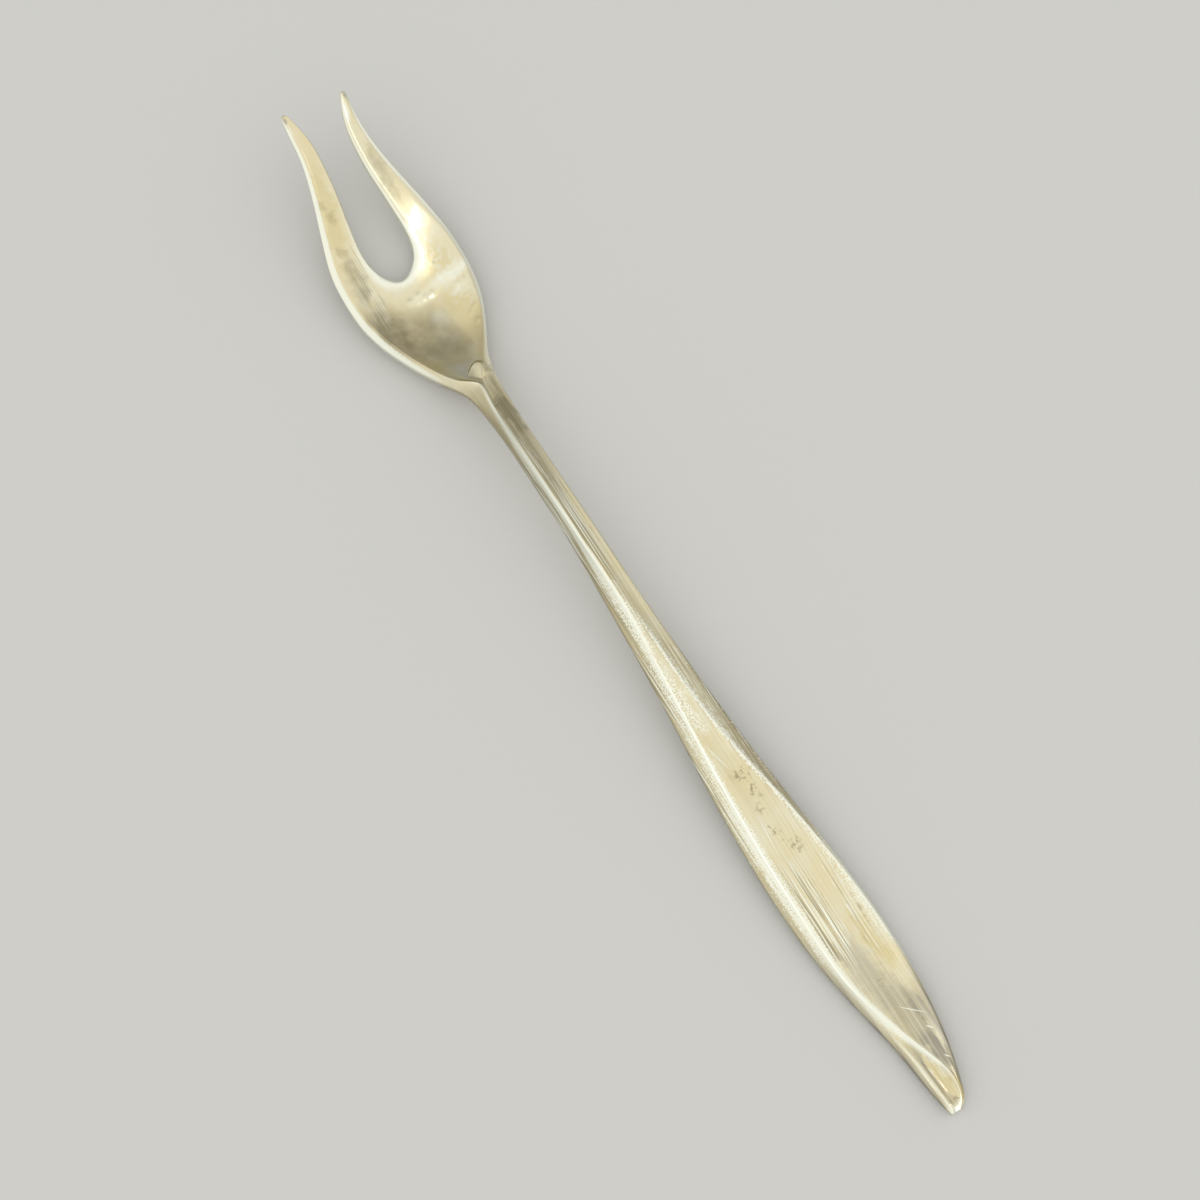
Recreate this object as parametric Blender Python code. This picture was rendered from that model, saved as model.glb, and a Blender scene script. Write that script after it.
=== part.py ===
"""Olive fork: one piece of struck silver with a leaf-shaped handle, a slim stem and a two-tined head.

The fork lies on a table with its hollow side up and its tines towards +Y. All sizes are in metres.
"""

import bmesh
import bpy
import numpy as np

# Lengths along the fork, one after the other from the end of the handle
LEAF_LENGTH = 0.0700
STEM_LENGTH = 0.0310
BOWL_LENGTH = 0.0210
TINE_LENGTH = 0.0240
RIGHT_TINE_SHORTFALL = 0.0009

# Half widths, measured from the line of the stem
END_LEFT = 0.0002
END_RIGHT = 0.0012
LEAF_LEFT = 0.0043
LEAF_RIGHT = 0.0056
STEM_ROOT_HALF = 0.00222
STEM_HALF = 0.00164
BOWL_LEFT = 0.0089
BOWL_RIGHT = 0.0076

# The bevels outside the rim of the bowl
LEFT_BEVEL = 0.0011
RIGHT_BEVEL = 0.00055

# Tines: the middle of each at its root, at its waist and at its tip, and the slot between them
LEFT_TINE_ROOT = -0.0062
LEFT_TINE_WAIST = -0.00295
LEFT_TINE_TIP = -0.0033
RIGHT_TINE_ROOT = 0.00503
RIGHT_TINE_WAIST = 0.00375
RIGHT_TINE_TIP = 0.0048
LEFT_TINE_WIDTH = 0.0048
RIGHT_TINE_WIDTH = 0.00455
TIP_WIDTH = 0.00075
SLOT_MIDDLE = -0.00085
SLOT_POINT = 0.0020
SLOT_SHOULDER = 0.0017

# Heights of the underside above the table
END_LIFT = 0.0004
ARCH_HEIGHT = 0.0047
TIP_HEIGHT = 0.0088

# Thicknesses below the ridges, and below the floor of the bowl
END_THICKNESS = 0.0014
LEAF_THICKNESS = 0.0022
STEM_THICKNESS = 0.0028
BOWL_THICKNESS = 0.0015
RIM_HEIGHT = 0.0036
TIP_THICKNESS = 0.0011

# Relief of the top, and how far it falls from the ridges to the edges
PANEL_DEPTH = 0.0002
PETAL_DEPTH = 0.0004
BEAD_HEIGHT = 0.0002
FLUTE_DEPTH = 0.00015
TINE_RIDGE = 0.0002
LEAF_FALL = 0.0010
LIP_FALL = 0.00035
STEM_FALL = 0.0012
BOWL_FALL = 0.0007
TIP_FALL = 0.0003
EDGE_WALL = 0.0009
TIP_WALL = 0.0006

# Share of the underside's width that is flat, and of the leaf's length that the petal takes
SOLE_FLAT = 0.42
PETAL_END = 0.16

# Rows of the cage in each length, how they crowd at the ends, and how sharp its form lines stay
LEAF_ROWS = 16
STEM_ROWS = 6
BOWL_ROWS = 9
TINE_ROWS = 10
END_CROWDING = 1.5
TIP_CROWDING = 1.4
SMOOTH_LEVELS = 1
RIDGE_CREASE = 0.5
RIM_CREASE = 0.35

# Columns of the cage, from the left edge to the right edge
COLUMNS = (
    "left_edge", "bead", "petal", "left_ridge", "left_panel", "left_inner", "middle",
    "right_inner", "right_panel", "right_ridge", "right_facet", "right_edge",
)
MIDDLE = COLUMNS.index("middle")
SLOT_SIDES = (COLUMNS.index("left_inner"), COLUMNS.index("right_inner"))

# Shares of the way from the middle to a ridge, at the inner and at the outer panel column
LEFT_SPREAD = (0.32, 0.66)
RIGHT_SPREAD = (0.38, 0.69)

# The row at the root of the slot, and the row at the tips
SLOT_ROW = LEAF_ROWS + STEM_ROWS + BOWL_ROWS
LAST_ROW = SLOT_ROW + TINE_ROWS

SILVER = (0.80, 0.76, 0.63, 1.0)
SILVER_ROUGHNESS = 0.28


def leaf(share):
    """Station at a share of the handle's leaf, counted from the end of the handle."""
    return share * LEAF_LENGTH


def stem(share):
    return LEAF_LENGTH + share * STEM_LENGTH


def bowl(share):
    return LEAF_LENGTH + STEM_LENGTH + share * BOWL_LENGTH


def left_tine(share):
    return bowl(1) + share * TINE_LENGTH


def right_tine(share):
    return bowl(1) + share * (TINE_LENGTH - RIGHT_TINE_SHORTFALL)


def smooth(points, at):
    """Value at a station, on a smooth curve through the points that never overshoots them."""
    stations, values = np.array(points).T
    gaps = np.diff(stations)
    rises = np.diff(values) / gaps
    slopes = np.zeros(len(values))
    slopes[0], slopes[-1] = rises[0], rises[-1]
    for k in range(1, len(rises)):
        if rises[k - 1] * rises[k] > 0:
            before = 2 * gaps[k] + gaps[k - 1]
            after = gaps[k] + 2 * gaps[k - 1]
            slopes[k] = (before + after) / (before / rises[k - 1] + after / rises[k])
    at = min(max(at, stations[0]), stations[-1])
    k = min(int(np.searchsorted(stations, at, side="right")) - 1, len(gaps) - 1)
    t = (at - stations[k]) / gaps[k]
    near = (1 + 2 * t) * (1 - t) ** 2 * values[k] + t * (1 - t) ** 2 * gaps[k] * slopes[k]
    far = t * t * (3 - 2 * t) * values[k + 1] - t * t * (1 - t) * gaps[k] * slopes[k + 1]
    return near + far


def line(**lengths):
    """Points of a curve along the fork, given as (share, value) pairs in each of its lengths."""
    places = {"in_leaf": leaf, "in_stem": stem, "in_bowl": bowl, "in_tine": left_tine}
    return [(places[name](share), value) for name, pairs in lengths.items() for share, value in pairs]


def tine_edge(station, middles, root_width, side):
    """Points along one edge of a tine: side is -1 for its left edge and 1 for its right edge."""
    widths = ((0.17, root_width), (0.38, 0.84 * root_width), (0.6, 0.655 * root_width),
              (0.8, 0.48 * root_width), (0.93, 0.32 * root_width), (1, TIP_WIDTH))
    return [(station(share), middle + side * width / 2)
            for (share, width), middle in zip(widths, middles)]


def tine_middles(root, waist, tip, early, late):
    """Middles of a tine at the six places where its width is given."""
    bend = waist - root
    return root, root + early * bend, root + late * bend, waist, (waist + tip) / 2, tip


LEFT_MIDDLES = tine_middles(LEFT_TINE_ROOT, LEFT_TINE_WAIST, LEFT_TINE_TIP, 0.35, 0.77)
RIGHT_MIDDLES = tine_middles(RIGHT_TINE_ROOT, RIGHT_TINE_WAIST, RIGHT_TINE_TIP, 0.38, 0.9)

# The outline, as seen from above
LEFT_EDGE = line(
    in_leaf=((0, -END_LEFT), (0.03, -0.16 * LEAF_LEFT), (0.13, -0.345 * LEAF_LEFT),
             (0.26, -0.735 * LEAF_LEFT), (0.36, -0.945 * LEAF_LEFT), (0.47, -LEAF_LEFT),
             (0.66, -0.88 * LEAF_LEFT), (0.83, -0.655 * LEAF_LEFT)),
    in_stem=((0, -STEM_ROOT_HALF), (0.45, -STEM_HALF), (0.85, -STEM_HALF)),
    in_bowl=((0, -0.215 * BOWL_LEFT), (0.12, -0.262 * BOWL_LEFT), (0.3, -0.475 * BOWL_LEFT),
             (0.5, -0.695 * BOWL_LEFT), (0.75, -0.925 * BOWL_LEFT), (0.97, -BOWL_LEFT)),
) + tine_edge(left_tine, LEFT_MIDDLES, LEFT_TINE_WIDTH, -1)
RIGHT_EDGE = line(
    in_leaf=((0, END_RIGHT), (0.013, 0.4 * LEAF_RIGHT), (0.04, 0.525 * LEAF_RIGHT),
             (0.13, 0.815 * LEAF_RIGHT), (0.23, 0.963 * LEAF_RIGHT), (0.32, LEAF_RIGHT),
             (0.49, 0.868 * LEAF_RIGHT), (0.66, 0.66 * LEAF_RIGHT), (0.83, 0.5 * LEAF_RIGHT)),
    in_stem=((0, STEM_ROOT_HALF), (0.45, 1.18 * STEM_HALF), (0.85, 1.05 * STEM_HALF)),
    in_bowl=((0, 0.25 * BOWL_RIGHT), (0.15, 0.29 * BOWL_RIGHT), (0.3, 0.377 * BOWL_RIGHT),
             (0.45, 0.588 * BOWL_RIGHT), (0.6, 0.795 * BOWL_RIGHT), (0.75, 0.925 * BOWL_RIGHT),
             (1, BOWL_RIGHT)),
) + tine_edge(right_tine, RIGHT_MIDDLES, RIGHT_TINE_WIDTH, 1)
LEFT_SLOT_SIDE = tine_edge(left_tine, LEFT_MIDDLES, LEFT_TINE_WIDTH, 1)
RIGHT_SLOT_SIDE = tine_edge(right_tine, RIGHT_MIDDLES, RIGHT_TINE_WIDTH, -1)

# Shares of the width that lie outside the left ridge and outside the right ridge
BOWL_WIDTH = BOWL_LEFT + BOWL_RIGHT
LEFT_FACET = line(
    in_leaf=((0, 0.8), (0.035, 0.86), (0.1, 0.51), (0.13, 0.335), (0.2, 0.17), (0.27, 0.11),
             (0.36, 0.155), (0.6, 0.205), (0.8, 0.25)),
    in_stem=((0, 0.417), (0.4, 0.29), (0.65, 0.265), (0.87, 0.29)),
    in_bowl=((0, 0.39), (0.095, 0.52), (0.18, 0.36), (0.27, 0.16),
             (0.5, 1.4 * LEFT_BEVEL / BOWL_WIDTH), (1, LEFT_BEVEL / BOWL_WIDTH)),
)
RIGHT_FACET = line(
    in_leaf=((0, 0.1), (0.13, 0.05), (0.4, 0.035), (0.5, 0.06), (0.6, 0.105), (0.69, 0.195),
             (0.78, 0.295), (0.85, 0.35)),
    in_stem=((0, 0.427), (0.4, 0.524), (0.87, 0.515)),
    in_bowl=((0, 0.437), (0.1, 0.32), (0.24, 0.16), (0.31, 0.07),
             (0.5, 1.4 * RIGHT_BEVEL / BOWL_WIDTH), (1, RIGHT_BEVEL / BOWL_WIDTH)),
)

# Where the bead and the petal beside it lie between the left edge and the left ridge
BEAD = line(in_leaf=((0, 0.26), (0.033, 0.26), (0.08, 0.29), (0.115, 0.38), (0.25, 0.33)))
PETAL = line(in_leaf=((0, 0.44), (0.033, 0.42), (0.08, 0.47), (0.115, 0.64), (0.25, 0.67)))
PETAL_RELIEF = line(in_leaf=((0, -0.2), (0.016, 0.8), (0.035, 1), (0.09, 1), (PETAL_END, 0)))

# Where the flute runs, between the right ridge and the right edge
FLUTE_RELIEF = line(in_leaf=((0.5, 0), (0.7, 1)), in_stem=((0.85, 1),), in_bowl=((0.1, 0),))

# How far the middle of the cage swings over to the slot, and where the right tine's ridge runs
SLOT_SWING = line(in_bowl=((0.3, 0), (1, 1)))
LEFT_TINE_BEVEL = line(in_tine=((0, LEFT_BEVEL / LEFT_TINE_WIDTH), (1, 0.35)))
RIGHT_TINE_BEVEL = line(in_tine=((0, RIGHT_BEVEL / RIGHT_TINE_WIDTH), (1, 0.3)))
RIGHT_TINE_CREST = line(in_tine=((0, 0.5), (0.15, 0.22), (0.4, 0.2), (0.8, 0.38), (1, 0.5)))
RIDGE_RISE = line(in_tine=((0.1, 0), (0.4, 1), (1, 0.6)))

# Heights along the fork: the underside, and what lies above it
SOLE = line(
    in_leaf=((0, END_LIFT), (0.1, 0), (0.27, 0), (0.43, 0.13 * ARCH_HEIGHT), (0.71, 0.47 * ARCH_HEIGHT)),
    in_stem=((0, 0.83 * ARCH_HEIGHT), (0.5, ARCH_HEIGHT), (0.82, 0.96 * ARCH_HEIGHT)),
    in_bowl=((0, 0.8 * ARCH_HEIGHT), (0.24, 0.46 * ARCH_HEIGHT), (0.44, 0.1 * ARCH_HEIGHT),
             (0.55, 0), (0.8, 0)),
    in_tine=((0.1, 0.15 * TIP_HEIGHT), (0.35, 0.34 * TIP_HEIGHT), (0.6, 0.57 * TIP_HEIGHT),
             (0.8, 0.77 * TIP_HEIGHT), (1, TIP_HEIGHT)),
)
RIDGE = line(
    in_leaf=((0, END_THICKNESS), (0.06, 0.85 * LEAF_THICKNESS), (0.3, LEAF_THICKNESS),
             (0.7, LEAF_THICKNESS)),
    in_stem=((0, 0.93 * STEM_THICKNESS), (0.5, STEM_THICKNESS), (0.82, 0.97 * STEM_THICKNESS)),
    in_bowl=((0, 0.9 * STEM_THICKNESS), (0.24, 0.78 * RIM_HEIGHT), (0.48, 0.94 * RIM_HEIGHT),
             (0.7, RIM_HEIGHT), (1, 0.86 * RIM_HEIGHT)),
    in_tine=((0.2, 0.66 * RIM_HEIGHT), (0.5, 1.65 * TIP_THICKNESS), (1, TIP_THICKNESS)),
)
FLOOR = line(
    in_leaf=((0, END_THICKNESS - PANEL_DEPTH), (0.06, 0.85 * LEAF_THICKNESS - PANEL_DEPTH),
             (0.3, LEAF_THICKNESS - PANEL_DEPTH), (0.7, LEAF_THICKNESS - 0.5 * PANEL_DEPTH)),
    in_stem=((0, 0.93 * STEM_THICKNESS), (0.5, STEM_THICKNESS), (0.82, 0.97 * STEM_THICKNESS)),
    in_bowl=((0, 0.88 * STEM_THICKNESS), (0.14, 1.4 * BOWL_THICKNESS), (0.24, 1.12 * BOWL_THICKNESS),
             (0.35, BOWL_THICKNESS), (1, BOWL_THICKNESS)),
    in_tine=((0.5, 1.2 * TIP_THICKNESS), (1, 0.85 * TIP_THICKNESS)),
)
LEFT_FALL = line(
    in_leaf=((0, 0.5 * LEAF_FALL), (0.1, 0.7 * LEAF_FALL), (0.3, 0.9 * LEAF_FALL), (0.8, LEAF_FALL)),
    in_stem=((0.3, STEM_FALL),),
    in_bowl=((0, 0.9 * STEM_FALL), (0.3, 1.15 * BOWL_FALL), (0.8, BOWL_FALL)),
    in_tine=((0.5, 1.3 * TIP_FALL), (1, TIP_FALL)),
)
RIGHT_FALL = line(
    in_leaf=((0, LIP_FALL), (0.35, LIP_FALL), (0.6, 0.7 * LEAF_FALL), (0.85, LEAF_FALL)),
    in_stem=((0.3, STEM_FALL),),
    in_bowl=((0, 0.85 * STEM_FALL), (0.3, 0.9 * BOWL_FALL), (0.8, 0.7 * BOWL_FALL)),
    in_tine=((0.5, 1.3 * TIP_FALL), (1, TIP_FALL)),
)
WALL = line(in_leaf=((0, 0.8 * EDGE_WALL), (0.2, EDGE_WALL)), in_bowl=((0.5, 0.9 * EDGE_WALL),),
            in_tine=((1, TIP_WALL),))


def between(start, end, share):
    return start + share * (end - start)


def rows():
    """Stations of the cage's rows, as (left, right) pairs that differ only on the tines."""
    both = [leaf((k / LEAF_ROWS) ** END_CROWDING) for k in range(LEAF_ROWS)]
    both += [stem(k / STEM_ROWS) for k in range(STEM_ROWS)]
    both += [bowl(k / BOWL_ROWS) for k in range(BOWL_ROWS)]
    pairs = [(station, station) for station in both]
    shoulder = bowl(1) + SLOT_SHOULDER
    for k in range(TINE_ROWS + 1):
        share = 1 - (1 - k / TINE_ROWS) ** TIP_CROWDING
        pairs.append((between(shoulder, left_tine(1), share), between(shoulder, right_tine(1), share)))
    return pairs


def across(left_station, right_station, on_tines):
    """Sideways places of the twelve columns in one row."""
    left, right = smooth(LEFT_EDGE, left_station), smooth(RIGHT_EDGE, right_station)
    if on_tines:
        left_inner = smooth(LEFT_SLOT_SIDE, left_station)
        right_inner = smooth(RIGHT_SLOT_SIDE, right_station)
        left_ridge = between(left, left_inner, smooth(LEFT_TINE_BEVEL, left_station))
        right_ridge = between(right, right_inner, smooth(RIGHT_TINE_BEVEL, right_station))
        left_panel = between(left_ridge, left_inner, 0.5)
        right_panel = between(right_inner, right_ridge, smooth(RIGHT_TINE_CREST, right_station))
        middle = (left_inner + right_inner) / 2
    else:
        left_ridge = between(left, right, smooth(LEFT_FACET, left_station))
        right_ridge = between(right, left, smooth(RIGHT_FACET, right_station))
        middle = between((left_ridge + right_ridge) / 2, SLOT_MIDDLE, smooth(SLOT_SWING, left_station))
        left_inner, left_panel = (between(middle, left_ridge, share) for share in LEFT_SPREAD)
        right_inner, right_panel = (between(middle, right_ridge, share) for share in RIGHT_SPREAD)
    bead = between(left, left_ridge, smooth(BEAD, left_station))
    petal = between(left, left_ridge, smooth(PETAL, left_station))
    facet = (right_ridge + right) / 2
    return (left, bead, petal, left_ridge, left_panel, left_inner, middle,
            right_inner, right_panel, right_ridge, facet, right)


def top_height(name, place, station, sideways):
    """Height of the top at one column, from its place across the row."""
    sole, ridge, floor = smooth(SOLE, station), smooth(RIDGE, station), smooth(FLOOR, station)
    left, left_ridge = sideways[0], sideways[COLUMNS.index("left_ridge")]
    right, right_ridge = sideways[-1], sideways[COLUMNS.index("right_ridge")]
    middle = sideways[MIDDLE]
    if place <= left_ridge:
        fall = smooth(LEFT_FALL, station) * (left_ridge - place) / (left_ridge - left)
    elif place >= right_ridge:
        fall = smooth(RIGHT_FALL, station) * (place - right_ridge) / (right - right_ridge)
    else:
        reach = left_ridge - middle if place < middle else right_ridge - middle
        fall = (ridge - floor) * (1 - ((place - middle) / reach) ** 2)
    relief = {"bead": BEAD_HEIGHT * smooth(PETAL_RELIEF, station),
              "petal": -PETAL_DEPTH * smooth(PETAL_RELIEF, station),
              "right_panel": TINE_RIDGE * smooth(RIDGE_RISE, station),
              "right_facet": -FLUTE_DEPTH * smooth(FLUTE_RELIEF, station)}
    return sole + ridge - fall + relief.get(name, 0)


def bottom_height(place, station, sideways):
    """Height of the underside: flat along the middle, and curved up to the edges."""
    left, right = sideways[0], sideways[-1]
    half = (right - left) / 2
    from_middle = (place - (left + right) / 2) / half
    fall = smooth(LEFT_FALL if from_middle < 0 else RIGHT_FALL, station)
    lift = smooth(RIDGE, station) - fall - smooth(WALL, station)
    rounding = max(0, abs(from_middle) - SOLE_FLAT) / (1 - SOLE_FLAT)
    return smooth(SOLE, station) + lift * rounding ** 2


def cage_points():
    """Top and bottom points of the cage by (row, column)."""
    top, bottom = {}, {}
    for row, (left_station, right_station) in enumerate(rows()):
        sideways = across(left_station, right_station, row > SLOT_ROW)
        for column, name in enumerate(COLUMNS):
            station = left_station if column < MIDDLE else right_station
            if row == SLOT_ROW and column == MIDDLE:
                station -= SLOT_POINT
            place = sideways[column]
            top[row, column] = (place, station, top_height(name, place, station, sideways))
            bottom[row, column] = (place, station, bottom_height(place, station, sideways))
    return top, bottom


def in_slot(face, row_of, column_of):
    """Whether a face of the cage lies in the open slot between the tines."""
    rows_here = [vertex[row_of] for vertex in face.verts]
    columns_here = [vertex[column_of] for vertex in face.verts]
    return min(rows_here) >= SLOT_ROW and SLOT_SIDES[0] <= min(columns_here) < SLOT_SIDES[1]


def crease_of(edge, row_of, column_of, below):
    """Sharpness of an edge of the cage: the rims, the two ridges, the petal and the right tine's crest."""
    first, second = edge.verts
    if any(len({vertex[below] for vertex in face.verts}) == 2 for face in edge.link_faces):
        on_rim = first[below] == second[below]
        return RIM_CREASE if on_rim else 0
    if first[below] or first[column_of] != second[column_of]:
        return 0
    at_petal = max(first.co.y, second.co.y) < leaf(PETAL_END)
    on_tine = min(first[row_of], second[row_of]) > SLOT_ROW
    sharp = {"left_ridge": True, "right_ridge": True, "petal": at_petal, "right_panel": on_tine}
    return RIDGE_CREASE if sharp.get(COLUMNS[first[column_of]]) else 0


def fork_mesh():
    """The fork's cage: a grid laid along the form lines, thickened by an extrusion."""
    top, bottom = cage_points()
    shape = bmesh.new()
    row_of = shape.verts.layers.int.new("row")
    column_of = shape.verts.layers.int.new("column")
    below = shape.verts.layers.int.new("below")
    points = {}
    for key, point in top.items():
        points[key] = shape.verts.new(point)
        points[key][row_of], points[key][column_of] = key
    for row in range(LAST_ROW):
        for column in range(len(COLUMNS) - 1):
            corners = ((row, column), (row, column + 1), (row + 1, column + 1), (row + 1, column))
            shape.faces.new([points[corner] for corner in corners])
    slot = [face for face in shape.faces if in_slot(face, row_of, column_of)]
    bmesh.ops.delete(shape, geom=slot, context="FACES")
    extruded = bmesh.ops.extrude_face_region(shape, geom=shape.faces[:], use_keep_orig=True)
    for vertex in extruded["geom"]:
        if isinstance(vertex, bmesh.types.BMVert):
            vertex[below] = 1
            vertex.co = bottom[vertex[row_of], vertex[column_of]]
    bmesh.ops.recalc_face_normals(shape, faces=shape.faces[:])
    crease = shape.edges.layers.float.new("crease_edge")
    for edge in shape.edges:
        edge[crease] = crease_of(edge, row_of, column_of, below)
    to_centre = (-(BOWL_RIGHT - BOWL_LEFT) / 2, -left_tine(1) / 2, 0)
    bmesh.ops.translate(shape, verts=shape.verts[:], vec=to_centre)
    mesh = bpy.data.meshes.new("fork")
    shape.to_mesh(mesh)
    shape.free()
    mesh.shade_smooth()
    return mesh


def silver():
    material = bpy.data.materials.new("worn_silver")
    material.use_nodes = True
    shader = material.node_tree.nodes["Principled BSDF"]
    shader.inputs["Base Color"].default_value = SILVER
    shader.inputs["Metallic"].default_value = 1.0
    shader.inputs["Roughness"].default_value = SILVER_ROUGHNESS
    return material


def main():
    for old in list(bpy.data.objects):
        bpy.data.objects.remove(old, do_unlink=True)
    fork = bpy.data.objects.new("fork", fork_mesh())
    bpy.context.scene.collection.objects.link(fork)
    fork.data.materials.append(silver())
    finish = fork.modifiers.new("smooth_form", "SUBSURF")
    finish.levels = SMOOTH_LEVELS
    finish.render_levels = SMOOTH_LEVELS


main()
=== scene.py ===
"""Olive fork in worn silver, laid out as a Blender add-on and run as a script.

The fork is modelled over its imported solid, with its tines towards +Y and its hollow side up.
Sizes are in metres. Marks and patterns on the metal are in millimetres.
"""

import math
from collections import namedtuple
from functools import partial

import bpy
import numpy as np
from bpy.props import FloatProperty, FloatVectorProperty, PointerProperty
from bpy.types import NodeSocket, Operator, Panel, PropertyGroup
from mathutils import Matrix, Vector, noise


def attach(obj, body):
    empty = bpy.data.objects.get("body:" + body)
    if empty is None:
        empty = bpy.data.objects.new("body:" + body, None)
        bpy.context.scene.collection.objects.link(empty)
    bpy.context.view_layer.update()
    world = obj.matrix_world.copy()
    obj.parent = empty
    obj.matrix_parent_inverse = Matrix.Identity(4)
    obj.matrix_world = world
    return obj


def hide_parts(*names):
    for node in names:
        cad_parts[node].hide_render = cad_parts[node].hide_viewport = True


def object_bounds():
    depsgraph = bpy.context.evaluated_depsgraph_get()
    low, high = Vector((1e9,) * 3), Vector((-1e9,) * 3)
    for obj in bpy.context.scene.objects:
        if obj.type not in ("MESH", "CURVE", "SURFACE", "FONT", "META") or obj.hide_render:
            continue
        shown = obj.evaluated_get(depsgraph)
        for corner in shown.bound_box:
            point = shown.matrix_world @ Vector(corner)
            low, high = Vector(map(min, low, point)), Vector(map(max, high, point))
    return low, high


bl_info = {
    "name": "Olive Fork",
    "version": (1, 0, 0),
    "blender": (4, 5, 0),
    "location": "3D View > Sidebar > Olive Fork",
    "description": "Models a worn silver olive fork and the stage that it lies on",
    "category": "Object",
}

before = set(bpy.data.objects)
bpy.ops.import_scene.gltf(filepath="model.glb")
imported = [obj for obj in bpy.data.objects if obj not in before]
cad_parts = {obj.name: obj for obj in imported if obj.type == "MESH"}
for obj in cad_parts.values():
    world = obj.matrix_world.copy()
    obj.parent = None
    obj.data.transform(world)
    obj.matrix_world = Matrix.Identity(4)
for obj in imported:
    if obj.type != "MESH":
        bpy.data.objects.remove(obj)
CAD_LOW, CAD_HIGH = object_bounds()
MM = 1000

# Rows of the cage in each length, how they crowd at the ends, and how sharp its form lines stay
LEAF_ROWS = 22
STEM_ROWS = 6
BOWL_PARTS = (0, 0.06, 0.11, 0.15, 0.19, 0.23, 0.28, 0.34, 0.44, 0.555, 0.667, 0.778, 0.889)
TINE_ROWS = 10
END_CROWDING = 1.9
TIP_CROWDING = 1.4
SMOOTH_LEVELS = 3
RIDGE_CREASE = 0.5
RIM_CREASE = 0.35

# Columns of the cage, from the left edge to the right edge
COLUMNS = (
    "left_edge", "bead", "petal", "left_ridge", "left_panel", "left_inner", "middle",
    "right_inner", "right_panel", "right_ridge", "right_facet", "right_edge",
)
MIDDLE = COLUMNS.index("middle")
SLOT_SIDES = (COLUMNS.index("left_inner"), COLUMNS.index("right_inner"))

# Where a vertex of the cage belongs: its row, its column, and 1 if it is on the underside
Corner = namedtuple("Corner", "row column below")

# Shares of the way from the middle to a ridge, at the inner and at the outer panel column
LEFT_SPREAD = (0.32, 0.66)
RIGHT_SPREAD = (0.38, 0.69)

# The row at the root of the slot, and the row at the tips
SLOT_ROW = LEAF_ROWS + STEM_ROWS + len(BOWL_PARTS)
LAST_ROW = SLOT_ROW + TINE_ROWS

# Share of the underside's width that is flat, and of the leaf's length that the petal takes
SOLE_FLAT = 0.42
PETAL_END = 0.16

# An oval mark on the top, in millimetres, turned in degrees from the fork's length
# A raised form may also rise along the fork (tilt) and to the right (lean), in millimetres per millimetre
Mark = namedtuple("Mark", "x y half_width half_length turn strength tilt lean", defaults=(0, 0))

# Marks of one kind, which fade from this share of their reach outwards
Marks = namedtuple("Marks", "fade ovals")

# The facet at the stem's end of the bowl, and the sunk petal at the end of the handle
HALF_MOON = Mark(0.9, 32.8, 1.15, 1.8, -32, 0.9)
PETAL = Mark(1.8, -68.8, 0.6, 3.4, 7, 1.0)

# Dark film, with painted shade in some thin lines, and where the film was cleaned off
FILM_AND_SHADE_MARKS = Marks(0.25, (
    Mark(-4.8, 43.2, 3.7, 7.3, 14, 0.75),
    Mark(-0.6, 39.4, 6.8, 2.8, -27, 0.52),
    Mark(1.5, 38.2, 1.9, 2.4, 10, 0.45),
    Mark(-0.3, 41.2, 4.4, 5.0, 25, 0.55),
    Mark(-5.3, 50.5, 1.6, 6.0, -6, 0.65),
    Mark(2.6, 32.4, 1.0, 2.0, 10, 0.8),
    Mark(4.7, 61.5, 1.2, 5.5, -3, 0.45),
    Mark(-3.9, 59.8, 1.0, 1.1, 0, 0.35),
    Mark(-4.4, 61.5, 0.8, 1.0, 0, 0.3),
    Mark(-5.05, 55.5, 1.0, 1.2, 0, 0.4),
    Mark(1.5, 25.5, 1.5, 6.0, 0, 1.3),
    # Painted dark reflection: a thin dark line in the valley beside the stem's ridge
    Mark(0.7, 19.0, 0.45, 7.0, 0, 0.9),
    Mark(-0.6, -50.5, 0.9, 5.0, 10, 0.5),
    Mark(1.2, -54.0, 2.4, 8.0, 8, 0.45),
    Mark(2.4, -60.5, 3.2, 11.0, 15, 0.55),
    # Grey film beside the crest at the handle's end, partly painted shade
    Mark(3.4, -66.0, 1.7, 6.0, 12, 0.9),
    Mark(4.4, -62.0, 1.6, 8.0, 12, 0.75),
    # Painted shade in the groove between the bead and the petal
    Mark(1.1, -67.3, 0.22, 3.5, 8, 1.0),
))
CLEANED = Marks(0.96, (Mark(14.6, 39.0, 12.0, 26.0, 6, 1.0), HALF_MOON, PETAL))
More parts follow.
